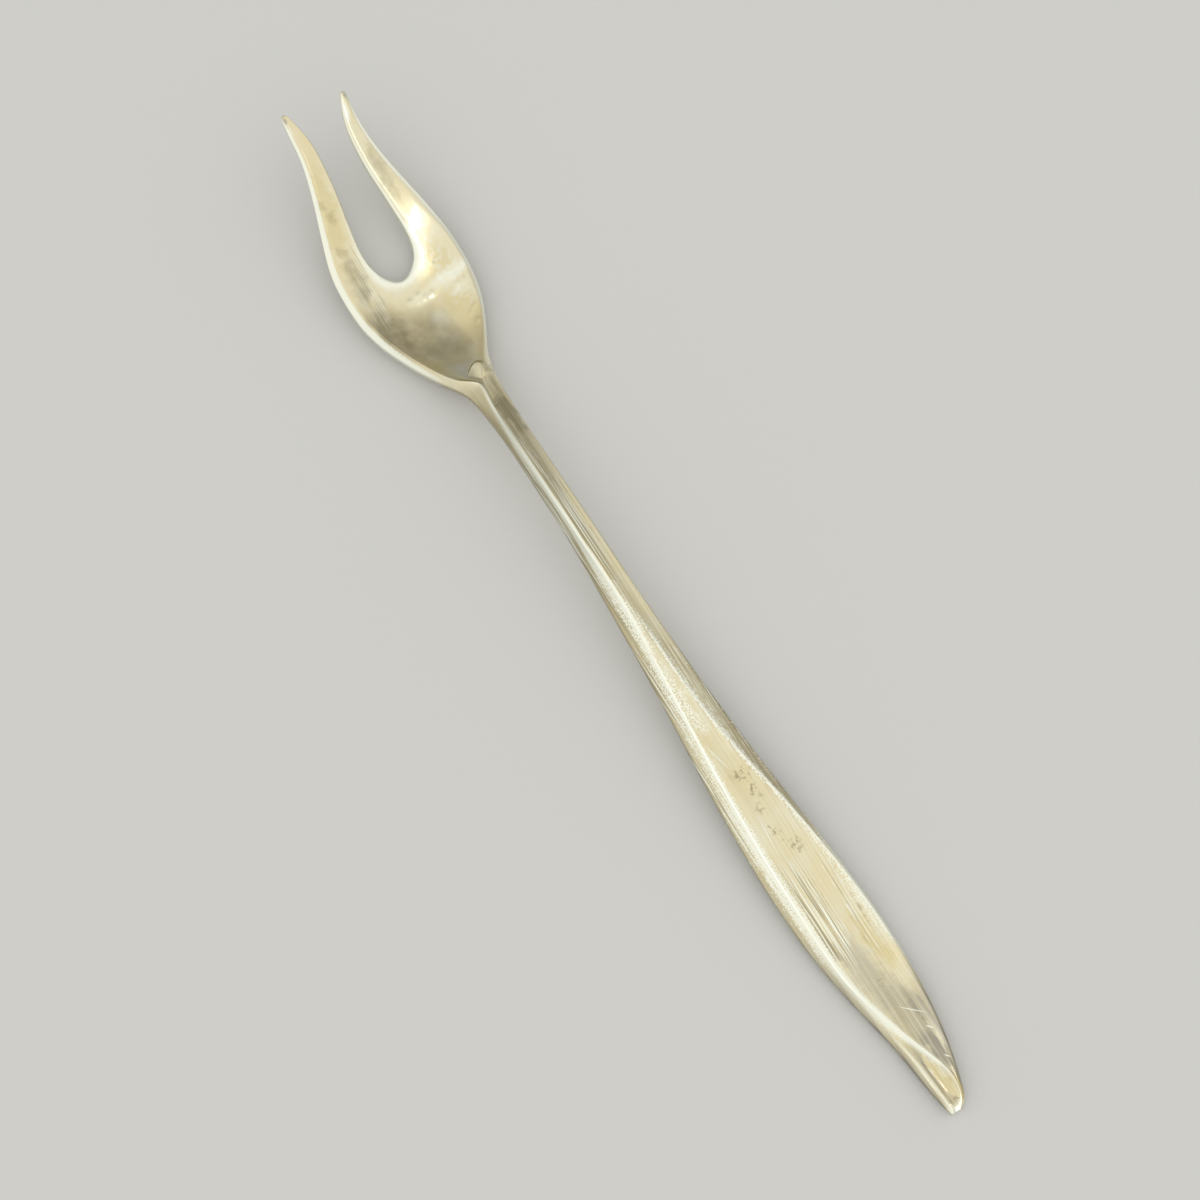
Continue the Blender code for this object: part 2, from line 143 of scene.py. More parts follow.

# Yellowish stains, and painted highlights: spots of rubbed metal painted bright where they catch the light
TAN_STAINS = Marks(0.4, (
    Mark(-3.9, 60.5, 1.6, 8.0, -15, 0.7),
    Mark(4.6, 39.5, 3.2, 6.5, 6, 0.7),
    Mark(4.4, 49.0, 2.6, 3.0, 0, 0.4),
    HALF_MOON._replace(half_width=1.3, half_length=2.0),
    Mark(1.4, -27.5, 2.2, 7.0, 4, 0.4),
    Mark(3.9, -51.5, 1.1, 5.5, 5, 0.9),
    Mark(1.75, -68.5, 0.7, 3.8, 7, 0.9),
))
HIGHLIGHT_SPOTS = Marks(0.1, (
    Mark(1.2, 42.6, 1.7, 1.7, 0, 0.3),
    Mark(5.3, 46.5, 4.5, 1.5, 0, 1.0),
    Mark(5.4, 44.4, 2.2, 1.4, 0, 0.4),
    Mark(0.7, 46.0, 3.0, 1.4, 0, 0.4),
    Mark(5.1, 54.8, 0.8, 2.2, -42, 1.0),
    Mark(4.6, 70.0, 0.6, 2.2, -16, 1.0),
    HALF_MOON._replace(half_width=1.2, half_length=1.9, strength=0.5),
    Mark(-0.6, 34.2, 3.6, 2.0, -27, 0.6),
    Mark(-2.9, 71.0, 0.4, 1.4, -6, 0.6),
    Mark(1.5, -72.5, 2.0, 0.8, 0, 0.5),
    Mark(5.5, -47.5, 0.6, 6.0, 4, 0.5),
))

# Zones of clear brush lines, which paint light and shade, of granular metal with painted glints, and of pits
LINE_ZONES = Marks(0.5, (
    Mark(0.0, -45.5, 2.2, 9.0, 0, 1.0),
    Mark(4.0, -45.5, 0.8, 9.0, 0, 0.9),
    Mark(-2.6, -30.0, 1.2, 24.0, 3, 0.9),
    Mark(0.0, 8.0, 2.4, 18.0, 0, 0.9),
    Mark(-1.7, -13.0, 1.2, 12.0, 3, 0.8),
    Mark(3.0, -17.0, 1.0, 12.0, 6, 0.6),
    Mark(-4.0, 54.0, 0.9, 3.0, 0, 0.5),
    Mark(-5.0, 48.5, 1.8, 6.0, -4, 0.3),
    Mark(2.2, -36.0, 2.6, 4.0, 0, 0.2),
    Mark(1.9, -60.5, 2.2, 9.0, 15, 0.25),
))
GRANULES = Marks(0.4, (
    Mark(-0.1, -15.5, 1.2, 6.5, 2, 0.85),
    Mark(0.0, -3.0, 0.8, 8.0, 0, 0.6),
    Mark(5.3, -46.5, 0.9, 8.0, 3, 0.5),
))
PIT_CLUSTERS = Marks(0.2, (
    Mark(1.35, -26.9, 1.5, 1.3, 0, 0.8),
    Mark(1.6, -28.9, 0.9, 1.5, 0, 0.8),
    Mark(2.35, -37.0, 1.1, 1.5, 0, 0.7),
    Mark(1.0, -34.6, 0.5, 1.9, 10, 0.65),
    Mark(0.9, -31.5, 0.9, 1.0, 0, 0.45),
    Mark(4.6, 49.2, 0.7, 0.8, 0, 0.4),
    Mark(1.8, -71.4, 0.5, 0.7, 0, 0.5),
    Mark(1.85, -55.7, 1.2, 1.4, -40, 0.3),
))

# Painted dark reflections, bluish, where the tips bend, and single scratches
TIP_DARK_REFLECTIONS = Marks(0.3, (
    Mark(-2.7, 72.3, 0.3, 0.6, 0, 0.5),
    Mark(5.4, 71.6, 0.3, 0.6, 0, 0.5),
))
SCRATCHES = Marks(0.3, (
    Mark(3.2, -60.5, 0.09, 2.1, 47, 0.8),
    Mark(3.84, -63.2, 0.1, 0.6, 40, 0.9),
    Mark(3.75, -67.1, 0.1, 0.6, 40, 0.7),
    Mark(0.0, -34.4, 0.09, 3.7, -4, 0.8),
    Mark(-0.2, -23.5, 0.14, 2.8, 14, 0.5),
))

# Small forms pressed into the top, with their heights as strengths: soft lumps, and crisp steps
LUMPS = Marks(0.3, (
    Mark(2.4, 46.4, 4.6, 1.3, 0, 0.05),
    Mark(-0.8, 46.2, 0.4, 0.45, 0, 0.12),
    Mark(0.45, 46.4, 0.4, 0.45, 0, 0.12),
    Mark(0.2, 45.7, 0.35, 0.4, 0, 0.12),
    Mark(1.05, 45.7, 0.45, 0.4, 0, 0.12),
    Mark(2.1, 45.7, 0.45, 0.4, 0, 0.12),
    Mark(5.4, 44.7, 0.45, 0.35, 0, 0.09),
    Mark(6.2, 44.8, 0.4, 0.35, 0, 0.09),
    Mark(5.5, 41.1, 0.4, 0.4, 0, 0.09),
    Mark(4.7, 40.7, 0.35, 0.35, 0, 0.09),
    Mark(4.9, 39.2, 0.35, 0.45, 0, 0.09),
    Mark(6.2, 48.7, 0.5, 0.5, 0, 0.09),
))
STEPS = Marks(0.75, (
    HALF_MOON._replace(strength=0.2, tilt=0.2, lean=0.22),
    PETAL._replace(strength=-0.06),
))

# Pebbled zone of the bowl: where it is, the height and span of its pebbles, and the span of their stipple of
# painted glints
PEBBLED = Marks(0.4, (Mark(5.2, 47.5, 2.6, 8.0, 0, 1.0),))
PEBBLE_HEIGHT = 0.012
PEBBLE_SPAN = 0.9
STIPPLE_SPAN = 0.6

# Unevenness of hand finishing: its height and its span
UNEVENNESS = 0.012
UNEVEN_SPAN = 4.0

# How bright each column of the cage is painted, from 0 to 1, at parts of each length: partly rubbed metal,
# partly painted highlights along the ridges, rims and bevels
RUBBED_AND_HIGHLIT = {
    "left_edge": dict(
        in_leaf=((0, 0.5), (0.04, 0), (0.1, 0), (0.2, 0.1), (0.3, 0.2)), in_stem=((0.9, 0),),
        in_bowl=((0.15, 0.1), (0.4, 0.7), (1, 0.9)), in_tine=((1, 0.8),)),
    "bead": dict(
        in_leaf=((0, 0.8), (0.02, 0.7), (0.08, 0.6), (0.13, 0.6), (0.17, 0.4), (0.25, 0.3), (0.3, 0.4),
                 (0.8, 0.35)),
        in_stem=((0, 0.35), (0.3, 0.2), (0.6, 0.05), (0.9, 0)),
        in_bowl=((0.15, 0.1), (0.4, 0.8), (1, 1)), in_tine=((1, 0.9),)),
    "petal": dict(
        in_leaf=((0, 0.8), (0.02, 0), (0.1, 0), (0.13, 0.25), (0.17, 0.65), (0.25, 0.55), (0.45, 0.7),
                 (0.6, 0.45)),
        in_stem=((0, 0.7), (0.4, 0.6), (0.9, 0.6)),
        in_bowl=((0.15, 0.2), (0.4, 0.5), (1, 0.7)), in_tine=((1, 0.4),)),
    "left_ridge": dict(
        in_leaf=((0, 0.8), (0.04, 0.4), (0.1, 0.9), (0.2, 1), (0.4, 1)), in_stem=((0.9, 1),),
        in_bowl=((0.1, 0.7), (0.4, 0.1)), in_tine=((0, 0), (1, 0.1))),
    "left_panel": dict(
        in_leaf=((0, 0), (0.75, 0), (0.95, 0.7)), in_stem=((0, 1), (0.8, 1)),
        in_bowl=((0.1, 0.1), (0.9, 0)), in_tine=((1, 0),)),
    "left_inner": dict(
        in_leaf=((0, 0), (0.8, 0.1), (1, 0.6)), in_stem=((0.1, 0.7), (0.5, 0.65), (0.9, 0.6)),
        in_bowl=((0.1, 0.1), (0.95, 0)), in_tine=((0.04, 1), (0.4, 0.6), (1, 0.3))),
    "middle": dict(
        in_leaf=((0, 0), (0.8, 0.1), (1, 0.4)), in_stem=((0.1, 0.25), (0.5, 0.1)),
        in_bowl=((0.1, 0.1), (0.9, 0), (0.99, 1)), in_tine=((0.04, 1), (1, 1))),
    "right_inner": dict(
        in_leaf=((0, 0), (0.8, 0.1), (1, 0.3)), in_stem=((0.1, 0),),
        in_bowl=((0.1, 0.1), (0.95, 0)), in_tine=((0.04, 1), (0.4, 0.9), (1, 0.6))),
    "right_panel": dict(
        in_leaf=((0, 0), (0.75, 0), (0.95, 0.3)), in_stem=((0, 0.1), (0.3, 0)),
        in_bowl=((0.1, 0.1), (1, 0)), in_tine=((0.2, 0.4), (1, 0.5))),
    "right_ridge": dict(
        in_leaf=((0, 0.6), (0.05, 0), (0.2, 0), (0.35, 0.8), (0.9, 0.9)), in_stem=((0.1, 0.1), (0.9, 0)),
        in_bowl=((0.3, 0.2), (1, 0.3)), in_tine=((1, 0.3),)),
    "right_facet": dict(
        in_leaf=((0, 0.6), (0.05, 0), (0.2, 0.1), (0.3, 1), (0.42, 0.9), (0.55, 0)), in_stem=((0.9, 0),),
        in_bowl=((0.4, 0.7), (1, 0.9)), in_tine=((1, 0.8),)),
    "right_edge": dict(
        in_leaf=((0, 0.7), (0.05, 0.5), (0.2, 0.4), (0.3, 0.9), (0.45, 0.9), (0.6, 0.4)),
        in_stem=((0.9, 0.5),), in_bowl=((0.4, 0.7), (1, 0.8)), in_tine=((1, 0.7),)),
}

# How much dark film a column keeps, in the same way
FILMED = {
    "left_edge": dict(
        in_leaf=((0, 0.3), (0.03, 0.9), (0.12, 1), (0.2, 0.8), (0.3, 0.4), (0.6, 0.5)),
        in_stem=((0, 0.7), (0.8, 0.9)), in_bowl=((0.1, 0.7), (0.3, 0))),
    "bead": dict(
        in_leaf=((0.09, 0.1), (0.13, 0.3), (0.2, 0.5), (0.3, 0.35)),
        in_stem=((0, 0.6), (0.8, 0.9)), in_bowl=((0.1, 0.6), (0.3, 0))),
    "petal": dict(
        in_leaf=((0, 0), (0.02, 0.5), (0.1, 0.7), (0.13, 0.3), (PETAL_END, 0)),
        in_stem=((0, 0.2), (0.8, 0.5)), in_bowl=((0.1, 0.4), (0.3, 0))),
    "left_panel": dict(in_leaf=((0, 0.6), (0.13, 0.6), (0.2, 0.1), (0.3, 0))),
    "middle": dict(
        in_leaf=((0.9, 0),), in_stem=((0, 0.2), (0.3, 0.4), (0.8, 0.5)), in_bowl=((0.1, 0),)),
    "right_inner": dict(
        in_leaf=((0.9, 0),), in_stem=((0, 0.7), (0.3, 0.9), (0.8, 1)), in_bowl=((0.1, 0),)),
    "right_panel": dict(
        in_leaf=((0.02, 0), (0.06, 0.7), (0.15, 0.7), (0.25, 0), (0.85, 0)),
        in_stem=((0, 0.7), (0.3, 0.9), (0.8, 1)), in_bowl=((0.1, 0),)),
    "right_ridge": dict(
        in_leaf=((0.01, 0), (0.04, 0.8), (0.18, 0.8), (0.28, 0), (0.5, 0), (0.6, 0.5), (0.9, 0.5), (1, 0.3)),
        in_stem=((0.4, 0.2), (0.8, 0.8)), in_bowl=((0.1, 0),)),
    "right_facet": dict(
        in_leaf=((0.01, 0), (0.04, 0.9), (0.18, 0.9), (0.28, 0), (0.45, 0), (0.6, 0.8), (0.85, 0.65),
                 (0.95, 0.35)),
        in_stem=((0, 0.1), (0.4, 0), (0.7, 0.8), (0.9, 1)), in_bowl=((0.1, 0.7), (0.25, 0))),
    "right_edge": dict(
        in_leaf=((0.01, 0), (0.04, 0.3), (0.15, 0.3), (0.25, 0), (0.5, 0), (0.6, 1), (0.85, 0.9),
                 (0.95, 0.2)),
        in_stem=((0.5, 0.1), (0.9, 0.5)), in_bowl=((0.2, 0),)),
}

# Stretches of the fork, in millimetres from its middle, where its wear changes: film turns from streaks to
# patches and from brown to grey, and the border of the ridges, rubbed and with painted highlights, turns
# granular and smooth again
BOWL_START = {"From Min": 28, "From Max": 36}
GREY_END = {"From Min": -40, "From Max": -52}
GRAIN_START = {"From Min": -54, "From Max": -44}
GRAIN_STOP = {"From Min": -6, "From Max": 10}

# How ragged that border is where it is smooth and where it is granular, and how much brush lines shape it
SMOOTH_BORDER = 0.3
GRAINY_BORDER = 1.8
LINES_IN_BORDER = 0.45

# Fine, other and coarse brush lines: times the set width and length, and a shift that keeps them apart
LINE_KINDS = ((1, 1, 0), (1.5, 1.3, 40), (3, 2.5, 80))

# Half the height of a mark's oval, so large that it takes in the whole fork
MARK_HALF_HEIGHT = 1000

# Wobble that makes the borders of marks ragged: its span and its reach
WOBBLE_SPAN = 10 / 7
WOBBLE_REACH = 2.2

# Stage: width of the floor, its gap below the fork, and the nearest distance that the camera shows
FLOOR_WIDTH = 3
FLOOR_GAP = 0.00005
CAMERA_NEAR = 0.01

# Light: direction of its dim part beyond the tines, the cosines between which it dims, and the upright part
# of the direction up to which the horizon dims it
DIM_WAY = Vector((0.224, 0.836, 0.5))
DIM_EDGE = {"From Min": 0.6, "From Max": 0.98}
HORIZON_TOP = 0.6


def linear(code):
    """Linear colour of an sRGB hex value."""
    parts = [int(code[k:k + 2], 16) / 255 for k in (1, 3, 5)]
    return tuple(part / 12.92 if part <= 0.04045 else ((part + 0.055) / 1.055) ** 2.4 for part in parts)


def size(label, about, metres):
    """A length that a user may change."""
    return FloatProperty(name=label, description=about, default=metres, unit="LENGTH", subtype="DISTANCE",
                         precision=5)


def tint(label, about, code):
    """A colour that a user may change."""
    return FloatVectorProperty(name=label, description=about, default=linear(code), size=3, subtype="COLOR",
                               min=0, max=1)


def share(label, about, value):
    """A share from 0 to 1 that a user may change."""
    return FloatProperty(name=label, description=about, default=value, subtype="FACTOR", min=0, max=1)


def turn(label, about, degrees):
    """An angle that a user may change."""
    return FloatProperty(name=label, description=about, default=math.radians(degrees), unit="ROTATION",
                         subtype="ANGLE")


class ForkSizes(PropertyGroup):
    """Sizes of the fork: widths from the line of its stem, heights from the table."""

    leaf_length: size("Leaf length", "Length of the handle's leaf", 0.0700)
    stem_length: size("Stem length", "Length of the stem between the leaf and the bowl", 0.0310)
    bowl_length: size("Bowl length", "Length of the bowl up to the root of the slot", 0.0210)
    tine_length: size("Tine length", "Length of the left tine", 0.0240)
    right_tine_shortfall: size("Right tine shortfall", "How much shorter the right tine is", 0.0009)

    end_left: size("End left", "Half width of the handle's end, on the left", 0.0002)
    end_right: size("End right", "Half width of the handle's end, on the right", 0.0012)
    leaf_left: size("Leaf left", "Greatest half width of the leaf, on the left", 0.0043)
    leaf_right: size("Leaf right", "Greatest half width of the leaf, on the right", 0.0056)
    stem_root_half: size("Stem root", "Half width of the stem where it leaves the leaf", 0.00222)
    stem_half: size("Stem", "Half width of the stem at its slimmest", 0.00164)
    bowl_left: size("Bowl left", "Greatest half width of the bowl, on the left", 0.008894)
    bowl_right: size("Bowl right", "Greatest half width of the bowl, on the right", 0.007594)
    left_bevel: size("Left bevel", "Width of the bevel outside the bowl's left rim", 0.0011)
    right_bevel: size("Right bevel", "Width of the bevel outside the bowl's right rim", 0.00055)

    left_tine_root: size("Left tine root", "Middle of the left tine at its root", -0.0062)
    left_tine_waist: size("Left tine waist", "Middle of the left tine at its waist", -0.00295)
    left_tine_tip: size("Left tine tip", "Middle of the left tine at its tip", -0.0033)
    right_tine_root: size("Right tine root", "Middle of the right tine at its root", 0.00503)
    right_tine_waist: size("Right tine waist", "Middle of the right tine at its waist", 0.00375)
    right_tine_tip: size("Right tine tip", "Middle of the right tine at its tip", 0.0048)
    left_tine_width: size("Left tine width", "Width of the left tine at its root", 0.0048)
    right_tine_width: size("Right tine width", "Width of the right tine at its root", 0.00455)
    tip_width: size("Tip width", "Width of both tines at the tip", 0.00075)
    slot_middle: size("Slot middle", "Where the root of the slot lies across the fork", -0.00085)
    slot_point: size("Slot point", "How far the root of the slot is drawn to a point", 0.0020)
    slot_shoulder: size("Slot shoulder", "How far into the tines the slot's root widens", 0.0017)

    end_lift: size("End lift", "Height of the underside at the handle's end", 0.0004)
    arch_height: size("Arch height", "Height of the underside below the stem", 0.0047)
    tip_height: size("Tip height", "Height of the underside at the tips", 0.00878)
    end_thickness: size("End thickness", "Thickness at the handle's end", 0.0014)
    leaf_thickness: size("Leaf thickness", "Thickness of the leaf below its ridges", 0.0022)
    stem_thickness: size("Stem thickness", "Thickness of the stem below its ridge", 0.0028)
    bowl_thickness: size("Bowl thickness", "Thickness of the bowl's floor", 0.0015)
    rim_height: size("Rim height", "Height of the bowl's rims above its underside", 0.0036)
    tip_thickness: size("Tip thickness", "Thickness of the tines at the tip", 0.0011)

    panel_depth: size("Panel depth", "How far the leaf's panel lies below its ridges", 0.0002)
    petal_depth: size("Petal depth", "How far the petal at the handle's end is sunk", 0.0004)
    bead_height: size("Bead height", "How far the bead beside the petal stands up", 0.0002)
    flute_depth: size("Flute depth", "Depth of the flute along the right side of the stem", 0.00015)
    tine_ridge: size("Tine ridge", "Height of the crest along the right tine", 0.0002)
    leaf_fall: size("Leaf fall", "How far the leaf falls from its ridges to its edges", 0.0010)
    lip_fall: size("Lip fall", "How far the leaf's right lip falls to the edge", 0.00035)
    stem_fall: size("Stem fall", "How far the stem falls from its ridge to its edges", 0.0012)
    bowl_fall: size("Bowl fall", "How far the bowl's bevels fall to the edge", 0.0007)
    tip_fall: size("Tip fall", "How far the tines fall to the edge at the tip", 0.0003)
    edge_wall: size("Edge wall", "Height of the upright wall along the edges", 0.0009)
    tip_wall: size("Tip wall", "Height of the upright wall at the tips", 0.0006)


class SilverFinish(PropertyGroup):
    """Colours and wear of the silver, and the colours of its painted light."""

    warm: tint("Warm silver", "Silver under a thin warm tarnish", "#E2D7B1")
    # Pale silver is also the colour of the painted glints on the pebbles
    pale: tint("Pale silver", "Silver that was rubbed clean", "#E6E3CD")
    # Dark film is also the colour of the painted shade on the walls and of the dark lines
    film_and_shade: tint("Dark film", "Grey-brown tarnish where the fork is seldom rubbed", "#978D70")
    grey: tint("Grey film", "Grey tarnish at the end of the handle", "#928C80")
    tan: tint("Tan stain", "Yellowish tarnish in patches", "#D9CB9C")
    dirt: tint("Dirt", "Brown tarnish in the pits and grooves", "#918664")
    # Bright metal is also the colour of the painted highlights and glints
    bright: tint("Bright metal", "Fresh metal on scratches and worn ridges", "#F6F8EA")
    # Colour of the painted dark reflections at the tips
    tip_reflection: tint("Bluish spots", "Bluish grey spots at the tips", "#8F929A")
    roughness: share("Roughness", "Roughness of the polished surface", 0.21)
    film_dullness: share("Film dullness", "Roughness that full film adds", 0.1)
    # Gloss where the highlight spots are painted
    sheen_gloss: share("Sheen gloss", "Roughness that rubbing to a sheen takes away", 0.06)
    line_width: size("Line width", "Width of the brush lines", 0.0002)
    line_length: size("Line length", "Length of the brush lines", 0.014)
    line_depth: size("Line depth", "Depth of the brush lines", 0.000004)
    grain_size: size("Grain size", "Width of the grain on rubbed metal", 0.00020)
    grain_depth: size("Grain depth", "Depth of the grain", 0.000004)
    mottle_size: size("Mottle size", "Width of the mottles in the film", 0.0018)
    blotch_size: size("Blotch size", "Width of the soft blotches of tarnish", 0.0050)
    pit_size: size("Pit size", "Distance between pits", 0.0005)
    pit_depth: size("Pit depth", "Depth of the pits", 0.00002)


class StageLook(PropertyGroup):
    """Camera, light and floor."""

    camera_turn: turn("Camera turn", "Direction that the camera looks from, about the upright axis", -32.157)
    camera_height: turn("Camera height", "Angle of the camera above the table", 75.0)
    camera_field: turn("Camera field", "Angle that the square picture takes in", 27.0)
    camera_distance: size("Camera distance", "Distance from the camera to where it looks", 0.3061)
    look_right: size("Look right", "Sideways place of the point that the camera looks at", -0.00101)
    look_along: size("Look along", "Lengthwise place of the point that the camera looks at", 0.00112)
    floor: tint("Floor", "Colour of the floor", "#DCDCDA")
    sky: tint("Sky", "Colour of the soft light all round", "#FFFEFA")
    dim_side: share("Dim side", "Brightness of the soft light beyond the tines", 0.45)
    horizon: share("Horizon", "Brightness of the soft light near the horizon", 0.6)
    lamp_tilt: turn("Lamp tilt", "Angle of the soft box from straight above", 11.0)
    lamp_turn: turn("Lamp turn", "Direction of the soft box, about the upright axis", 190.0)
    lamp_distance: size("Lamp distance", "Distance from the fork to the soft box", 0.7)
    lamp_size: size("Lamp size", "Width of the soft box", 0.07)
    lamp_power: FloatProperty(name="Lamp power", description="Power of the soft box", default=0.08,
                              unit="POWER", subtype="POWER")


class OliveFork(PropertyGroup):
    """All settings of the olive fork."""

    sizes: PointerProperty(type=ForkSizes)
    silver: PointerProperty(type=SilverFinish)
    stage: PointerProperty(type=StageLook)


def smooth(points, at):
    """Value at a station, on a smooth curve through the points that never overshoots them."""
    stations, values = np.array(points).T
    gaps = np.diff(stations)
    rises = np.diff(values) / gaps
    slopes = np.zeros(len(values))
    slopes[0], slopes[-1] = rises[0], rises[-1]
    for k in range(1, len(rises)):
        if rises[k - 1] * rises[k] > 0:
            before = 2 * gaps[k] + gaps[k - 1]
            after = gaps[k] + 2 * gaps[k - 1]
            slopes[k] = (before + after) / (before / rises[k - 1] + after / rises[k])
    at = min(max(at, stations[0]), stations[-1])
    k = min(int(np.searchsorted(stations, at, side="right")) - 1, len(gaps) - 1)
    part = (at - stations[k]) / gaps[k]
    near = (1 + 2 * part) * (1 - part) ** 2 * values[k] + part * (1 - part) ** 2 * gaps[k] * slopes[k]
    far = part * part * (3 - 2 * part) * values[k + 1] - part * part * (1 - part) * gaps[k] * slopes[k + 1]
    return near + far


def between(start, end, part):
    """Value at a part of the way between two others."""
    return start + part * (end - start)


def times(whole, *pairs):
    """(part, value) pairs whose values are given as fractions of a whole size."""
    return [(part, fraction * whole) for part, fraction in pairs]


def tine_middles(root, waist, tip, early, late):
    """Middles of a tine at the six places where its width is given."""
    bend = waist - root
    return root, root + early * bend, root + late * bend, waist, (waist + tip) / 2, tip


class FormLines:
    """Curves along the fork that place its cage, worked out from the sizes."""

    def __init__(self, sizes):
        self.sizes = sizes
        self.lay_outline()
        self.lay_ridges()
        self.lay_relief()
        self.lay_heights()
        self.lay_falls()
        self.lay_wear()

    def leaf(self, part):
        """Station at a part of the leaf, counted from the end of the handle."""
        return part * self.sizes.leaf_length

    def stem(self, part):
        return self.leaf(1) + part * self.sizes.stem_length

    def bowl(self, part):
        return self.stem(1) + part * self.sizes.bowl_length

    def left_tine(self, part):
        return self.bowl(1) + part * self.sizes.tine_length

    def right_tine(self, part):
        return self.bowl(1) + part * (self.sizes.tine_length - self.sizes.right_tine_shortfall)

    def line(self, **lengths):
        """Points of a curve along the fork, given as (part, value) pairs in each of its lengths."""
        places = {"in_leaf": self.leaf, "in_stem": self.stem, "in_bowl": self.bowl,
                  "in_tine": self.left_tine}
        return [(places[name](part), value) for name, pairs in lengths.items() for part, value in pairs]

    def tine_edge(self, station, middles, root_width, side):
        """Points along one edge of a tine: side is -1 for its left edge and 1 for its right edge."""
        widths = (*times(root_width, (0.17, 1), (0.38, 0.84), (0.6, 0.655), (0.8, 0.48), (0.93, 0.32)),
                  (1, self.sizes.tip_width))
        return [(station(part), middle + side * width / 2) for (part, width), middle in zip(widths, middles)]

    def lay_outline(self):
        """The outline, as seen from above."""
        sizes = self.sizes
        left = tine_middles(sizes.left_tine_root, sizes.left_tine_waist, sizes.left_tine_tip, 0.35, 0.77)
        right = tine_middles(sizes.right_tine_root, sizes.right_tine_waist, sizes.right_tine_tip, 0.38, 0.9)
        self.left_edge = self.line(
            in_leaf=((0, -sizes.end_left),
                     *times(-sizes.leaf_left, (0.03, 0.16), (0.13, 0.345), (0.26, 0.735), (0.36, 0.945),
                            (0.47, 1), (0.66, 0.88), (0.83, 0.655))),
            in_stem=((0, -sizes.stem_root_half), *times(-sizes.stem_half, (0.45, 1), (0.85, 1))),
            in_bowl=times(-sizes.bowl_left, (0, 0.215), (0.12, 0.262), (0.3, 0.475), (0.5, 0.695),
                          (0.75, 0.925), (0.97, 1)),
        ) + self.tine_edge(self.left_tine, left, sizes.left_tine_width, -1)
        self.right_edge = self.line(
            in_leaf=((0, sizes.end_right),
                     *times(sizes.leaf_right, (0.013, 0.4), (0.04, 0.525), (0.13, 0.815), (0.23, 0.963),
                            (0.32, 1), (0.49, 0.868), (0.66, 0.66), (0.83, 0.5))),
            in_stem=((0, sizes.stem_root_half), *times(sizes.stem_half, (0.45, 1.18), (0.85, 1.05))),
            in_bowl=times(sizes.bowl_right, (0, 0.25), (0.15, 0.29), (0.3, 0.377), (0.45, 0.588),
                          (0.6, 0.795), (0.75, 0.925), (1, 1)),
        ) + self.tine_edge(self.right_tine, right, sizes.right_tine_width, 1)
        self.left_slot_side = self.tine_edge(self.left_tine, left, sizes.left_tine_width, 1)
        self.right_slot_side = self.tine_edge(self.right_tine, right, sizes.right_tine_width, -1)

    def lay_ridges(self):
        """Shares of the width that lie outside the left ridge and outside the right ridge."""
        sizes = self.sizes
        bowl_width = sizes.bowl_left + sizes.bowl_right
        self.left_facet = self.line(
            in_leaf=((0, 0.8), (0.035, 0.86), (0.1, 0.51), (0.13, 0.335), (0.2, 0.17), (0.27, 0.11),
                     (0.36, 0.155), (0.6, 0.205), (0.8, 0.25)),
            in_stem=((0, 0.39), (0.4, 0.24), (0.65, 0.22), (0.87, 0.25)),
            in_bowl=((0, 0.36), (0.1, 0.48), (0.155, 0.5), (0.187, 0.38), (0.216, 0.23), (0.27, 0.165),
                     (0.5, 1.4 * sizes.left_bevel / bowl_width), (1, sizes.left_bevel / bowl_width)),
        )
        self.right_facet = self.line(
            in_leaf=((0, 0.1), (0.13, 0.05), (0.4, 0.035), (0.5, 0.06), (0.6, 0.11), (0.69, 0.23),
                     (0.78, 0.345), (0.85, 0.4)),
            in_stem=((0, 0.44), (0.4, 0.524), (0.87, 0.515)),
            in_bowl=((0, 0.445), (0.06, 0.43), (0.13, 0.38), (0.187, 0.28), (0.222, 0.2), (0.274, 0.13),
                     (0.33, 0.07), (0.5, 1.4 * sizes.right_bevel / bowl_width),
                     (1, sizes.right_bevel / bowl_width)),
        )
        self.left_tine_bevel = self.line(
            in_tine=((0, sizes.left_bevel / sizes.left_tine_width), (1, 0.35)))
        self.right_tine_bevel = self.line(
            in_tine=((0, sizes.right_bevel / sizes.right_tine_width), (1, 0.3)))
        self.right_tine_crest = self.line(in_tine=((0, 0.5), (0.15, 0.22), (0.4, 0.2), (0.8, 0.38),
                                                   (1, 0.5)))
        self.slot_swing = self.line(in_bowl=((0.3, 0), (1, 1)))

    def lay_relief(self):
        """Where the bead, the petal, the flute and the right tine's crest run, and how strongly."""
        self.bead = self.line(in_leaf=((0, 0.26), (0.033, 0.26), (0.08, 0.29), (0.115, 0.38), (0.25, 0.33)))
        self.petal = self.line(in_leaf=((0, 0.44), (0.033, 0.42), (0.08, 0.47), (0.115, 0.64), (0.25, 0.67)))
        self.petal_relief = self.line(in_leaf=((0, -0.3), (0.0105, -0.3), (0.025, 0.7), (0.04, 1), (0.09, 1),
                                               (PETAL_END, 0)))
        self.flute_relief = self.line(in_leaf=((0.5, 0), (0.7, 1)), in_stem=((0.85, 1),),
                                      in_bowl=((0.1, 0),))
        self.ridge_rise = self.line(in_tine=((0.1, 0), (0.4, 1), (1, 0.6)))

